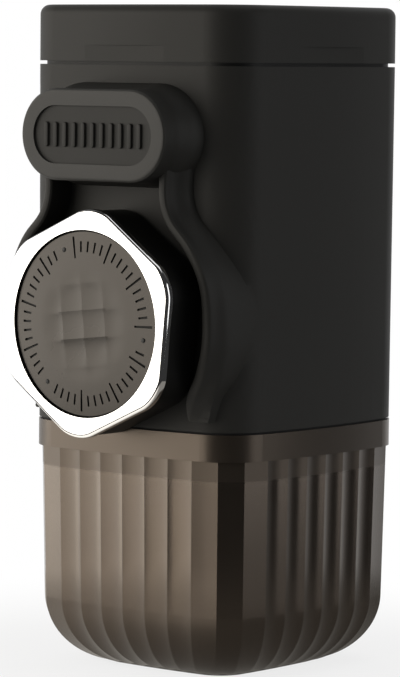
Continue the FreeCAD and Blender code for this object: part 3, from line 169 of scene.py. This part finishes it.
def add_white_background(tree, level):
    background = tree.nodes.new("ShaderNodeBackground")
    background.inputs["Color"].default_value = (1.0, 1.0, 1.0, 1)
    background.inputs["Strength"].default_value = level
    return background


# ------------------------------------------------------------------ camera

CAMERA_PLACE = Vector((0.5359, -0.6507, 0.1399))
CAMERA_YAW = math.radians(39.7142)
CAMERA_PITCH = math.radians(4.461)
CAMERA_ROLL = math.radians(-0.5631)
CAMERA_LENS = 196.12
CAMERA_SENSOR = 36
CAMERA_CLIP = 0.01


def set_camera():
    """A long lens at the lid's height, to the right of the knob's axis and pitched down."""
    ahead = Vector((
        -math.sin(CAMERA_YAW) * math.cos(CAMERA_PITCH),
        math.cos(CAMERA_YAW) * math.cos(CAMERA_PITCH),
        -math.sin(CAMERA_PITCH),
    ))
    level = Vector((math.cos(CAMERA_YAW), math.sin(CAMERA_YAW), 0))
    upright = level.cross(ahead)
    right = level * math.cos(CAMERA_ROLL) - upright * math.sin(CAMERA_ROLL)
    up = level * math.sin(CAMERA_ROLL) + upright * math.cos(CAMERA_ROLL)
    camera = bpy.data.objects.new("camera", bpy.data.cameras.new("camera"))
    camera.data.lens = CAMERA_LENS
    camera.data.sensor_width = CAMERA_SENSOR
    camera.data.clip_start = CAMERA_CLIP
    bpy.context.scene.collection.objects.link(camera)
    turn = Matrix((right, up, -ahead)).transposed().to_4x4()
    camera.matrix_world = Matrix.Translation(CAMERA_PLACE) @ turn
    bpy.context.scene.camera = camera


# ------------------------------------------------------------------ studio

# The backdrop stands behind the maker as the camera sees it; the rest of the room is dim.
BACKDROP_TOWARDS = (-0.64, 0.768, 0.0)
BACKDROP_EDGE = (math.cos(math.radians(80)), math.cos(math.radians(28)))
WHITE_LEVEL = 1.0
ROOM_LEVEL = 0.03
AMBIENT_LEVEL = 0.33

# Each lamp's name, place, size, power in watts and tint, and the point that it is turned to.
SOFTBOX_TINT = (1.0, 0.95, 0.87)
UNTINTED = (1.0, 1.0, 1.0)
BODY_MIDDLE = (0, 0, 0.07)
LAMPS = (
    ("front_left_softbox", (-0.66, -0.75, 0.215), (1.3, 0.82), 10.2, SOFTBOX_TINT, BODY_MIDDLE),
    ("left_strip", (-1.0, -0.25, 0.15), (0.5, 0.85), 1.0, SOFTBOX_TINT, BODY_MIDDLE),
    ("right_strip", (0.72, 0.25, 0.2), (0.46, 0.6), 1.2, UNTINTED, BODY_MIDDLE),
    ("overhead", (0.1, 0.1, 0.8), (0.6, 0.6), 1.0, UNTINTED, (0, 0, 0.1)),
)

# The floor fades into the surround between two radii. Its sheen, which only gloss sees, rises
# from the first level to the second over a stretch towards the softbox.
FLOOR_RADIUS = 0.15
FLOOR_SEGMENTS = 96
FLOOR_COLOR = (0.9, 0.9, 0.9, 1)
FLOOR_FADE = (0.05, 0.14)
FLOOR_GLOW = 0.8
FLOOR_TOWARDS = (-0.64, -0.768, 0.0)
# The sheen is painted light for the softbox's light on the floor, and its low level by the maker
# is painted shadow.
FLOOR_SHEEN = (0.22, 1.15)
FLOOR_SHEEN_FADE = (0.0, 0.07)


def set_world():
    """White to the eye, a lit backdrop in a dim room to gloss and glass, and even grey light."""
    world = bpy.data.worlds.new("studio")
    bpy.context.scene.world = world
    world.use_nodes = True
    tree = world.node_tree
    tree.nodes.clear()
    path = tree.nodes.new("ShaderNodeLightPath")
    place = tree.nodes.new("ShaderNodeTexCoord")
    facing = add_distance_along(tree, place, "Generated", BACKDROP_TOWARDS)
    backdrop = add_ramp(tree, facing, "Value", BACKDROP_EDGE, (ROOM_LEVEL, WHITE_LEVEL))
    lit = add_white_background(tree, AMBIENT_LEVEL)
    mirrored = add_white_background(tree, WHITE_LEVEL)
    link(tree, backdrop, "Result", mirrored, "Strength")
    seen = add_white_background(tree, WHITE_LEVEL)
    gloss_or_glass = add_math(tree, "MAXIMUM")
    link(tree, path, "Is Glossy Ray", gloss_or_glass, 0)
    link(tree, path, "Is Transmission Ray", gloss_or_glass, 1)
    to_gloss = add_mix(tree, gloss_or_glass, 0, lit, mirrored)
    to_eye = add_mix(tree, path, "Is Camera Ray", to_gloss, seen)
    output = tree.nodes.new("ShaderNodeOutputWorld")
    link(tree, to_eye, 0, output, 0)


def set_lamps():
    for name, place, size, power, tint, target in LAMPS:
        light = bpy.data.lights.new(name, "AREA")
        light.shape = "RECTANGLE"
        light.size, light.size_y = size
        light.energy = power
        light.color = tint
        item = bpy.data.objects.new(name, light)
        bpy.context.scene.collection.objects.link(item)
        item.location = place
        ahead = Vector(target) - Vector(place)
        item.rotation_euler = ahead.to_track_quat("-Z", "Y").to_euler()


def make_floor():
    """A pale floor that keeps the maker's shadow and melts into the white surround.

    Gloss sees a painted sheen on it: bright towards the softbox, dim on the other sides, and dim
    by the maker as painted shadow.
    """
    material = bpy.data.materials.new("pale_floor")
    material.use_nodes = True
    tree = material.node_tree
    tree.nodes.clear()
    matte = tree.nodes.new("ShaderNodeBsdfDiffuse")
    matte.inputs["Color"].default_value = FLOOR_COLOR
    glow = tree.nodes.new("ShaderNodeEmission")
    place = tree.nodes.new("ShaderNodeTexCoord")
    away = add_math(tree, "LENGTH", "ShaderNodeVectorMath")
    link(tree, place, "Object", away, 0)
    fade = add_ramp(tree, away, "Value", FLOOR_FADE, (FLOOR_GLOW, WHITE_LEVEL))
    path = tree.nodes.new("ShaderNodeLightPath")
    share = add_math(tree, "MULTIPLY")
    link(tree, path, "Is Camera Ray", share, 0)
    link(tree, fade, "Result", share, 1)
    # Painted sheen for gloss: brighter towards the softbox, with painted shadow by the maker.
    facing = add_distance_along(tree, place, "Object", FLOOR_TOWARDS)
    level = add_ramp(tree, facing, "Value", FLOOR_SHEEN_FADE, FLOOR_SHEEN)
    sheen = tree.nodes.new("ShaderNodeEmission")
    sheen.inputs["Color"].default_value = (*SOFTBOX_TINT, 1)
    link(tree, level, "Result", sheen, "Strength")
    shown = add_mix(tree, share, 0, matte, glow)
    to_gloss = add_mix(tree, path, "Is Glossy Ray", shown, sheen)
    output = tree.nodes.new("ShaderNodeOutputMaterial")
    link(tree, to_gloss, 0, output, 0)
    mesh = bmesh.new()
    bmesh.ops.create_circle(mesh, segments=FLOOR_SEGMENTS, radius=FLOOR_RADIUS, cap_ends=True)
    floor = finish_mesh(mesh, "floor", [material], scale=1.0)


# ------------------------------------------------------------------ shared surface effects

GRAIN_SCALE = 2600.0
GRAIN_DETAIL = 2.0
GRAIN_HEIGHT = 0.1
BUMP_DISTANCE = 0.0001
MOTTLING_SCALE = 55.0
MOTTLING_DETAIL = 5.0
MOTTLING = 0.12
ROUGHNESS_SPREAD = 0.08
NOISE_MIDDLE = 0.5


def new_group(name, inputs, outputs):
    group = bpy.data.node_groups.new(name, "ShaderNodeTree")
    for label, kind, value in inputs:
        socket = group.interface.new_socket(label, in_out="INPUT", socket_type=kind)
        socket.default_value = value
    for label, kind in outputs:
        group.interface.new_socket(label, in_out="OUTPUT", socket_type=kind)
    return group, group.nodes.new("NodeGroupInput"), group.nodes.new("NodeGroupOutput")


def make_moulded_grain():
    """Fine moulded texture as a normal, and slow mottling of the roughness and the colour."""
    group, given, made = new_group("moulded_grain", [
        ("Grain Scale", "NodeSocketFloat", GRAIN_SCALE),
        ("Grain Height", "NodeSocketFloat", GRAIN_HEIGHT),
        ("Roughness", "NodeSocketFloat", 0.5),
        ("Roughness Spread", "NodeSocketFloat", ROUGHNESS_SPREAD),
        ("Color", "NodeSocketColor", (0.05, 0.05, 0.05, 1)),
        ("Mottling", "NodeSocketFloat", MOTTLING),
    ], [
        ("Normal", "NodeSocketVector"),
        ("Roughness", "NodeSocketFloat"),
        ("Color", "NodeSocketColor"),
    ])
    place = group.nodes.new("ShaderNodeTexCoord")
    grain = group.nodes.new("ShaderNodeTexNoise")
    grain.inputs["Detail"].default_value = GRAIN_DETAIL
    link(group, place, "Object", grain, "Vector")
    link(group, given, "Grain Scale", grain, "Scale")
    bump = group.nodes.new("ShaderNodeBump")
    bump.inputs["Distance"].default_value = BUMP_DISTANCE
    link(group, given, "Grain Height", bump, "Strength")
    link(group, grain, 0, bump, "Height")
    link(group, bump, 0, made, "Normal")
    slow = group.nodes.new("ShaderNodeTexNoise")
    slow.inputs["Scale"].default_value = MOTTLING_SCALE
    slow.inputs["Detail"].default_value = MOTTLING_DETAIL
    link(group, place, "Object", slow, "Vector")
    centred = add_math(group, "SUBTRACT")
    centred.inputs[1].default_value = NOISE_MIDDLE
    link(group, slow, 0, centred, 0)
    spread = add_math(group, "MULTIPLY_ADD")
    link(group, centred, 0, spread, 0)
    link(group, given, "Roughness Spread", spread, 1)
    link(group, given, "Roughness", spread, 2)
    link(group, spread, 0, made, "Roughness")
    shade = add_math(group, "MULTIPLY_ADD")
    shade.inputs[2].default_value = 1.0
    link(group, centred, 0, shade, 0)
    link(group, given, "Mottling", shade, 1)
    tint = add_math(group, "SCALE", "ShaderNodeVectorMath")
    link(group, given, "Color", tint, 0)
    link(group, shade, 0, tint, "Scale")
    link(group, tint, 0, made, "Color")
    return group


GRAIN = make_moulded_grain()


def new_material(name, color, roughness, grain_scale=GRAIN_SCALE, grain_height=GRAIN_HEIGHT,
                 spread=ROUGHNESS_SPREAD, mottling=MOTTLING, **fixed):
    """A Principled surface whose colour, roughness and normal come from the moulded grain.

    The fixed values go to the surface's own sockets, named in lower case with underscores.
    """
    material = bpy.data.materials.new(name)
    material.use_nodes = True
    tree = material.node_tree
    surface = tree.nodes["Principled BSDF"]
    grain = tree.nodes.new("ShaderNodeGroup")
    grain.node_tree = GRAIN
    grain.inputs["Grain Scale"].default_value = grain_scale
    grain.inputs["Grain Height"].default_value = grain_height
    grain.inputs["Roughness"].default_value = roughness
    grain.inputs["Roughness Spread"].default_value = spread
    grain.inputs["Color"].default_value = (*color, 1)
    grain.inputs["Mottling"].default_value = mottling
    link(tree, grain, "Color", surface, "Base Color")
    link(tree, grain, "Roughness", surface, "Roughness")
    link(tree, grain, "Normal", surface, "Normal")
    for label, value in fixed.items():
        socket = label.replace("_", " ").title().replace("Ior", "IOR")
        surface.inputs[socket].default_value = value
    return material


# ------------------------------------------------------------------ materials

SOFT_TOUCH = new_material("soft_touch_black", (0.019, 0.0185, 0.0166), 0.55,
                          grain_height=0.12, specular_ior_level=0.22)
PLATE_BLACK = new_material("plate_black", (0.026, 0.0253, 0.023), 0.5, grain_height=0.06,
                           specular_ior_level=0.3)
INNER_BLACK = new_material("inner_black", (0.02, 0.02, 0.02), 0.5, specular_ior_level=0.3)
RUBBER = new_material("seal_rubber", (0.015, 0.015, 0.015), 0.7, specular_ior_level=0.25)
SMOKED = new_material("smoked_plastic", (0.018, 0.0147, 0.0117), 0.21, grain_scale=1800.0,
                      grain_height=0.05, transmission_weight=0.28, ior=1.62,
                      specular_ior_level=0.7, specular_tint=(1.0, 0.82, 0.67, 1))
CHROME = new_material("chrome_ring", (0.93, 0.93, 0.93), 0.07, grain_height=0.0,
                      spread=0.02, mottling=0.0, metallic=1.0)
KNOB_BLACK = new_material("knob_black", (0.005, 0.005, 0.0047), 0.42, specular_ior_level=0.14)
DIAL = new_material("dial_grey", (0.03, 0.028, 0.0255), 0.26, grain_scale=3500.0,
                    grain_height=0.05, specular_ior_level=0.41,
                    specular_tint=(1.0, 0.92, 0.84, 1))
STEEL = new_material("stainless", (0.6, 0.59, 0.57), 0.28, grain_height=0.04,
                     spread=0.12, mottling=0.08, metallic=1.0)

# The cup's band is satin where its fluted wall is smoother.
BAND_EDGE = (0.0453, 0.0459)
BAND_ROUGHER = 0.14


def frost_the_band(material):
    """Adds roughness above the fluted wall's shoulder."""
    tree = material.node_tree
    surface = tree.nodes["Principled BSDF"]
    place = tree.nodes.new("ShaderNodeTexCoord")
    parts = tree.nodes.new("ShaderNodeSeparateXYZ")
    link(tree, place, "Object", parts, 0)
    above = add_ramp(tree, parts, "Z", BAND_EDGE, (0.0, BAND_ROUGHER), "LINEAR")
    total = add_math(tree, "ADD")
    link(tree, above, "Result", total, 0)
    tree.links.new(surface.inputs["Roughness"].links[0].from_socket, total.inputs[1])
    link(tree, total, 0, surface, "Roughness")


frost_the_band(SMOKED)

FINISHES = {
    "soft_black": SOFT_TOUCH,
    "smoked_plastic": SMOKED,
    "seal_rubber": RUBBER,
    "inner_black": INNER_BLACK,
    "stainless": STEEL,
    "knob_black": KNOB_BLACK,
    "chrome_ring": CHROME,
    "dial_grey": DIAL,
}


def finish_cad_nodes():
    """Gives each node from the frame the finish of its slot."""
    for part in frame["record"]["subparts"]:
        node = frame["nodes"][part["node"]]
        node.data.materials.clear()
        node.data.materials.append(FINISHES[part["material_slot"]])


# ------------------------------------------------------------------ casing's lips

PUMP_HEIGHT = 79.8
LABEL_FRONT = 43.0

# The lips stand between two depths in front of the middle, and further out than LIP_SIDE.
LIP_ROOT = 33.2
LIP_CREST = 39.57
LIP_SIDE = 12.0

# Levels over the knob's axis between which a lip sinks, and by how much.
LIP_SINKS = ((22.0, 0.0, 1.5), (-5.0, -21.0, 3.0))
LIP_TURNS_IN = 0.83

# The nose at a lip's lower tip: its levels, its middle, how far it sinks of what is left, and
# how much it narrows. The cuts are the levels that round it.
LIP_NOSE = (-15.5, -20.95)
LIP_NOSE_MIDDLE = 21.0
LIP_NOSE_SINKS = 0.97
LIP_NOSE_NARROWS = 0.5
LIP_CUTS = (-16.5, -17.5, -18.4, -19.2, -19.8, -20.3, -20.65)

CASING_SHARP_ANGLE = 28
EVEN_SHADING_WEIGHT = 60


def lip_sink(height):
    """How far a lip's crest lies below its full height, at a level over the knob's axis."""
    sink = sum(deep * eased(-height, -start, -end) for start, end, deep in LIP_SINKS)
    rounding = 1 - math.sqrt(1 - share_along(height, *LIP_NOSE) ** 2)
    return sink + (LIP_CREST - LIP_ROOT - sink) * LIP_NOSE_SINKS * rounding


def make_casing_skin():
    """The casing with its lips sinking and turning in towards their lower tips.

    The label plate's front takes the second material.
    """
    mesh = merged_copy("casing")
    bmesh.ops.scale(mesh, vec=(1 / MM, 1 / MM, 1 / MM), verts=mesh.verts)
    for cut in LIP_CUTS:
        bmesh.ops.bisect_plane(mesh, geom=mesh.verts[:] + mesh.edges[:] + mesh.faces[:],
                               plane_co=(0, 0, PUMP_HEIGHT + cut), plane_no=(0, 0, 1))
    for vertex in mesh.verts:
        out = share_along(-vertex.co.y, LIP_ROOT, LIP_CREST)
        if out > 0 and abs(vertex.co.x) > LIP_SIDE:
            height = vertex.co.z - PUMP_HEIGHT
            sink = lip_sink(height) * out
            vertex.co.y += sink
            vertex.co.x -= math.copysign(sink * LIP_TURNS_IN, vertex.co.x)
            side = abs(vertex.co.x) - LIP_NOSE_MIDDLE
            side *= 1 - LIP_NOSE_NARROWS * eased(-height, *(-end for end in LIP_NOSE))
            vertex.co.x = math.copysign(LIP_NOSE_MIDDLE + side, vertex.co.x)
    for face in mesh.faces:
        face.material_index = int(-face.calc_center_median().y > LABEL_FRONT)
    skin = finish_mesh(mesh, "casing_skin", [SOFT_TOUCH, PLATE_BLACK],
                       sharp_angle=CASING_SHARP_ANGLE)
    even = skin.modifiers.new("even_shading", "WEIGHTED_NORMAL")
    even.keep_sharp = True
    even.weight = EVEN_SHADING_WEIGHT
    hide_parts("casing")
    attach(skin, "casing")


# ------------------------------------------------------------------ springs

# Each spring's axis and the body that it pushes.
SPRING_AXES = {"return_spring": (1, "plunger"), "inlet_spring": (2, "inlet_ball"),
               "outlet_spring": (2, "outlet_ball")}
COIL_SHARP_ANGLE = 40


def make_springs():
    """Each spring as a merged steel coil in place of its node.

    Its two ends along its axis are found, swapped for the plunger's spring, but nothing uses them.
    """
    for node, (axis, pushed) in SPRING_AXES.items():
        low, high = [Vector(corner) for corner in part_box(node)]
        start, end = (low + high) / 2, (low + high) / 2
        start[axis], end[axis] = low[axis], high[axis]
        if pushed == "plunger":
            start, end = end, start
        coil = finish_mesh(merged_copy(node), node.replace("spring", "coil"), [STEEL],
                           scale=1.0, sharp_angle=COIL_SHARP_ANGLE)
        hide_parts(node)
        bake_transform(coil)


# ------------------------------------------------------------------ knob's dial

DIAL_RADIUS = 20.6
DIAL_FACE = 45.9
DIAL_THICKNESS = 2.1
DIAL_EDGE = 0.3
DIAL_DOME = 0.9
# The slot for the ticks' black ink and for the rim's painted shade.
DIAL_INK_AND_SHADE_SLOT = 1
DIAL_SHARP_ANGLE = 14
DIMPLE_PITCH = 6.15
DIMPLE_DEPTH = 0.44
DIMPLE_TURN = math.radians(6.5)
DIMPLES_ACROSS = 6
DIMPLES_UP = 7
DIMPLE_STEPS = 12
DIMPLES_FADE = (7.0, 13.3)

# The dimpled middle is trimmed short of its radius by a seam that triangles fill.
MIDDLE_RADIUS = 13.4
MIDDLE_SEAM = 0.4

# A long tick runs between the outer two of the scale's rings, a short one between the inner two.
SCALE_STEPS = 216
SCALE_RINGS = (14.6, 15.8, 18.2, 19.4)
TICK_SPACING = 4
TICK_DEPTH = 0.35
LONG_TICK_EVERY = 5

# The dots' turns, and the space without ticks beside each one, are in degrees.
DOT_COUNT = 3
DOT_APART = 360 / DOT_COUNT
DOT_ANGLE = 111.0
DOT_CLEARANCE = 7.0
DOT_RADIUS = 0.55
DOT_HEIGHT_SHARE = 0.35
DOT_LIFT = 0.02
DOT_PLACE = 17.2
DOT_SEGMENTS = (20, 10)
DOT_SHARP_ANGLE = 60


def dome_drop(radius):
    """How far the domed dial lies below its middle."""
    return DIAL_DOME * (radius / DIAL_RADIUS) ** 2


def dimple_height(x, y):
    """Square dimples that meet in sharp ridges, level where they fade out."""
    across = (x / DIMPLE_PITCH) % 1.0
    up = (y / DIMPLE_PITCH + 0.5) % 1.0
    bowl = ((2 * across - 1) ** 2 + (2 * up - 1) ** 2) / 2 - 1
    return DIMPLE_DEPTH * bowl * (1 - eased(math.hypot(x, y), *DIMPLES_FADE))


def draw_dimples(mesh):
    """The middle of the dial: a fine grid, trimmed round and dished cell by cell."""
    made = bmesh.ops.create_grid(
        mesh, x_segments=DIMPLES_ACROSS * DIMPLE_STEPS, y_segments=DIMPLES_UP * DIMPLE_STEPS,
        size=DIMPLE_PITCH / 2)
    bmesh.ops.scale(mesh, vec=(DIMPLES_ACROSS, DIMPLES_UP, 1), verts=made["verts"])
    outside = [vertex for vertex in made["verts"]
               if vertex.co.xy.length > MIDDLE_RADIUS - MIDDLE_SEAM]
    bmesh.ops.delete(mesh, geom=outside, context="VERTS")
    for vertex in mesh.verts:
        vertex.co.z = dimple_height(vertex.co.x, vertex.co.y)
    bmesh.ops.rotate(mesh, verts=mesh.verts, cent=(0, 0, 0),
                     matrix=Matrix.Rotation(DIMPLE_TURN, 3, "Z"))
    return [edge for edge in mesh.edges if edge.is_boundary]


def draw_ring(mesh, edges, radius, drop=0.0):
    """Extrudes a round loop to a new radius, and down by drop."""
    made = bmesh.ops.extrude_edge_only(mesh, edges=edges)["geom"]
    for vertex in only_vertices(made):
        flat = vertex.co.xy.normalized() * radius
        vertex.co = Vector((flat.x, flat.y, vertex.co.z - drop))
    return [item for item in made if isinstance(item, bmesh.types.BMEdge)
            and all(abs(end.co.xy.length - radius) < SAME_PLACE for end in item.verts)]


def tick_rings(angle):
    """The radii that a tick covers at an angle in degrees, or None between ticks."""
    step = int(angle / 360 * SCALE_STEPS)
    from_dot = (angle - DOT_ANGLE + DOT_APART / 2) % DOT_APART - DOT_APART / 2
    if step % TICK_SPACING or abs(from_dot) < DOT_CLEARANCE:
        return None
    if (step // TICK_SPACING) % LONG_TICK_EVERY == 0:
        return SCALE_RINGS[0], SCALE_RINGS[3]
    return SCALE_RINGS[1], SCALE_RINGS[2]


def make_dial():
    """The dial: dimpled middle, an engraved scale of black ticks, and a softened rim painted black
    as painted shade for the gap by the ring.
    """
    mesh = bmesh.new()
    middle_rim = draw_dimples(mesh)
    start = bmesh.ops.create_circle(mesh, segments=SCALE_STEPS, radius=MIDDLE_RADIUS)["verts"]
    loop = edges_at(start)
    bmesh.ops.triangle_fill(mesh, use_beauty=True, edges=middle_rim + loop)
    for radius in SCALE_RINGS:
        loop = draw_ring(mesh, loop, radius)
    loop = draw_ring(mesh, loop, DIAL_RADIUS - DIAL_EDGE)
    loop = draw_ring(mesh, loop, DIAL_RADIUS, DIAL_EDGE)
    loop = draw_ring(mesh, loop, DIAL_RADIUS, DIAL_THICKNESS - DIAL_EDGE)
    bmesh.ops.edgeloop_fill(mesh, edges=loop)
    ticks = []
    for face in mesh.faces:
        middle = face.calc_center_median()
        rings = tick_rings(math.degrees(math.atan2(middle.y, middle.x)) % 360)
        if rings and abs(middle.z) < SAME_PLACE and rings[0] < middle.xy.length < rings[1]:
            ticks.append(face)
    sunk = only_vertices(bmesh.ops.extrude_face_region(mesh, geom=ticks)["geom"])
    bmesh.ops.translate(mesh, vec=(0, 0, -TICK_DEPTH), verts=sunk)
    for face in {face for vertex in sunk for face in vertex.link_faces}:
        face.material_index = DIAL_INK_AND_SHADE_SLOT
    # The rim and its side wall are painted black: painted shade for the dark gap between the dial
    # and the ring.
    for face in mesh.faces:
        if face.calc_center_median().xy.length > DIAL_RADIUS - DIAL_EDGE:
            face.material_index = DIAL_INK_AND_SHADE_SLOT
    bmesh.ops.delete(mesh, geom=[face for face in ticks if face.is_valid], context="FACES_ONLY")
    for vertex in mesh.verts:
        lowered = vertex.co.z - dome_drop(vertex.co.xy.length)
        vertex.co.z = max(lowered, -DIAL_THICKNESS)
    bmesh.ops.recalc_face_normals(mesh, faces=mesh.faces)
    stand_up(mesh, PUMP_HEIGHT, DIAL_FACE)
    dial = finish_mesh(mesh, "dial_face", [DIAL, KNOB_BLACK], sharp_angle=DIAL_SHARP_ANGLE)
    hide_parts("knob_insert")
    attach(dial, "knob")


def make_dial_dots():
    """Three low round dots that part the scale into thirds."""
    mesh = bmesh.new()
    for number in range(DOT_COUNT):
        turn = math.radians(DOT_ANGLE + DOT_APART * number)
        place = Matrix.Translation((DOT_PLACE * math.cos(turn), DOT_PLACE * math.sin(turn),
                                    DOT_LIFT - dome_drop(DOT_PLACE)))
        bmesh.ops.create_uvsphere(mesh, u_segments=DOT_SEGMENTS[0], v_segments=DOT_SEGMENTS[1],
                                  radius=DOT_RADIUS,
                                  matrix=place @ Matrix.Diagonal((1, 1, DOT_HEIGHT_SHARE, 1)))
    stand_up(mesh, PUMP_HEIGHT, DIAL_FACE)
    dots = finish_mesh(mesh, "dial_dots", [INNER_BLACK], sharp_angle=DOT_SHARP_ANGLE)
    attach(dots, "knob")


# ------------------------------------------------------------------ knob's ring

RING_SIDES = 6
RING_BACK = 43.8
RING_FACE = 45.6
RING_REACH = 27.0
RING_TILT = 5.6
RING_CORNER = 9.5
RING_CORNER_SEGMENTS = 14
RING_BORE = 20.75
RING_BORE_SEGMENTS = 96
RING_BORE_MARGIN = 0.01
RING_EDGE = 0.85
RING_EDGE_SEGMENTS = 7
RING_SHARP_ANGLE = 30

# How far a face's normal may lean to the front on the ring's walls, and where it counts as flat.
WALL_SLOPE = 0.5
FLAT_SLOPE = 0.999


def make_ring():
    """The bright six-sided ring round the dial, with round corners and a rolled outer edge."""
    mesh = bmesh.new()
    outline = bmesh.ops.create_circle(
        mesh, segments=RING_SIDES, radius=RING_REACH,
        matrix=Matrix.Rotation(math.radians(-RING_TILT), 4, "Z"))["verts"]
    bmesh.ops.bevel(mesh, geom=outline,
                    offset=RING_CORNER * math.tan(math.radians(180 / RING_SIDES)),
                    segments=RING_CORNER_SEGMENTS, profile=ROUND_PROFILE, affect="VERTICES",
                    material=-1)
    outer = list(mesh.edges)
    bore = bmesh.ops.create_circle(mesh, segments=RING_BORE_SEGMENTS, radius=RING_BORE)["verts"]
    bmesh.ops.bridge_loops(mesh, edges=outer + edges_at(bore))
    raised = bmesh.ops.extrude_face_region(mesh, geom=list(mesh.faces), use_keep_orig=True)["geom"]
    bmesh.ops.translate(mesh, vec=(0, 0, RING_FACE - RING_BACK), verts=only_vertices(raised))
    halfway = (RING_FACE - RING_BACK) / 2
    outer_rim = [edge for edge in mesh.edges
                 if all(vertex.co.z > halfway for vertex in edge.verts)
                 and sum(abs(face.normal.z) < WALL_SLOPE for face in edge.link_faces) == 1
                 and edge.verts[0].co.xy.length >= RING_BORE + RING_BORE_MARGIN]
    bmesh.ops.bevel(mesh, geom=outer_rim, offset=RING_EDGE, segments=RING_EDGE_SEGMENTS,
                    profile=ROUND_PROFILE, affect="EDGES", material=-1)
    bmesh.ops.recalc_face_normals(mesh, faces=mesh.faces)
    stand_up(mesh, PUMP_HEIGHT, RING_BACK)
    ring = finish_mesh(mesh, "bright_ring", [CHROME], sharp_angle=RING_SHARP_ANGLE)
    for face in ring.data.polygons:
        face.use_smooth = abs(face.normal.y) < FLAT_SLOPE
    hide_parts("knob_ring")
    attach(ring, "knob")


# ------------------------------------------------------------------ label plate's ribs

LABEL_HEIGHT = 121.2
LABEL_FLOOR = 42.9
RIB_COUNT = 11
RIB_PITCH = 2.7
RIB_HALF_WIDTH = 0.55
RIB_SEGMENTS = 24
RIB_STRAIGHT = 4.4
RIB_RISE = 0.55
RIB_EDGE = 0.16
RIB_EDGE_SEGMENTS = 3
RIB_SHARP_ANGLE = 40


def make_label_ribs():
    """A row of upright ribs with round ends in the label plate's recess."""
    mesh = bmesh.new()
    # Half a step's turn leaves no vertex on the line where a rib's two ends part.
    half_step = Matrix.Rotation(math.radians(180 / RIB_SEGMENTS), 4, "Z")
    for number in range(RIB_COUNT):
        across = (number - (RIB_COUNT - 1) / 2) * RIB_PITCH
        rib = bmesh.ops.create_circle(mesh, segments=RIB_SEGMENTS, radius=RIB_HALF_WIDTH,
                                      cap_ends=True, matrix=half_step)["verts"]
        for vertex in rib:
            vertex.co.y += math.copysign(RIB_STRAIGHT / 2, vertex.co.y)
        bmesh.ops.translate(mesh, vec=(across, 0, 0), verts=rib)
    raised = bmesh.ops.extrude_face_region(mesh, geom=list(mesh.faces), use_keep_orig=True)["geom"]
    bmesh.ops.translate(mesh, vec=(0, 0, RIB_RISE), verts=only_vertices(raised))
    rims = [edge for edge in mesh.edges
            if all(vertex.co.z > RIB_RISE / 2 for vertex in edge.verts)]
    bmesh.ops.bevel(mesh, geom=rims, offset=RIB_EDGE, segments=RIB_EDGE_SEGMENTS,
                    profile=ROUND_PROFILE, affect="EDGES", material=-1)
    bmesh.ops.recalc_face_normals(mesh, faces=mesh.faces)
    stand_up(mesh, LABEL_HEIGHT, LABEL_FLOOR)
    ribs = finish_mesh(mesh, "label_ribs", [SOFT_TOUCH], sharp_angle=RIB_SHARP_ANGLE)
    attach(ribs, "casing")


# ------------------------------------------------------------------ making it

bpy.context.scene.view_settings.view_transform = "Standard"
set_camera()
set_world()
set_lamps()
make_floor()
finish_cad_nodes()
make_casing_skin()
make_springs()
make_ring()
make_dial()
make_dial_dots()
make_label_ribs()
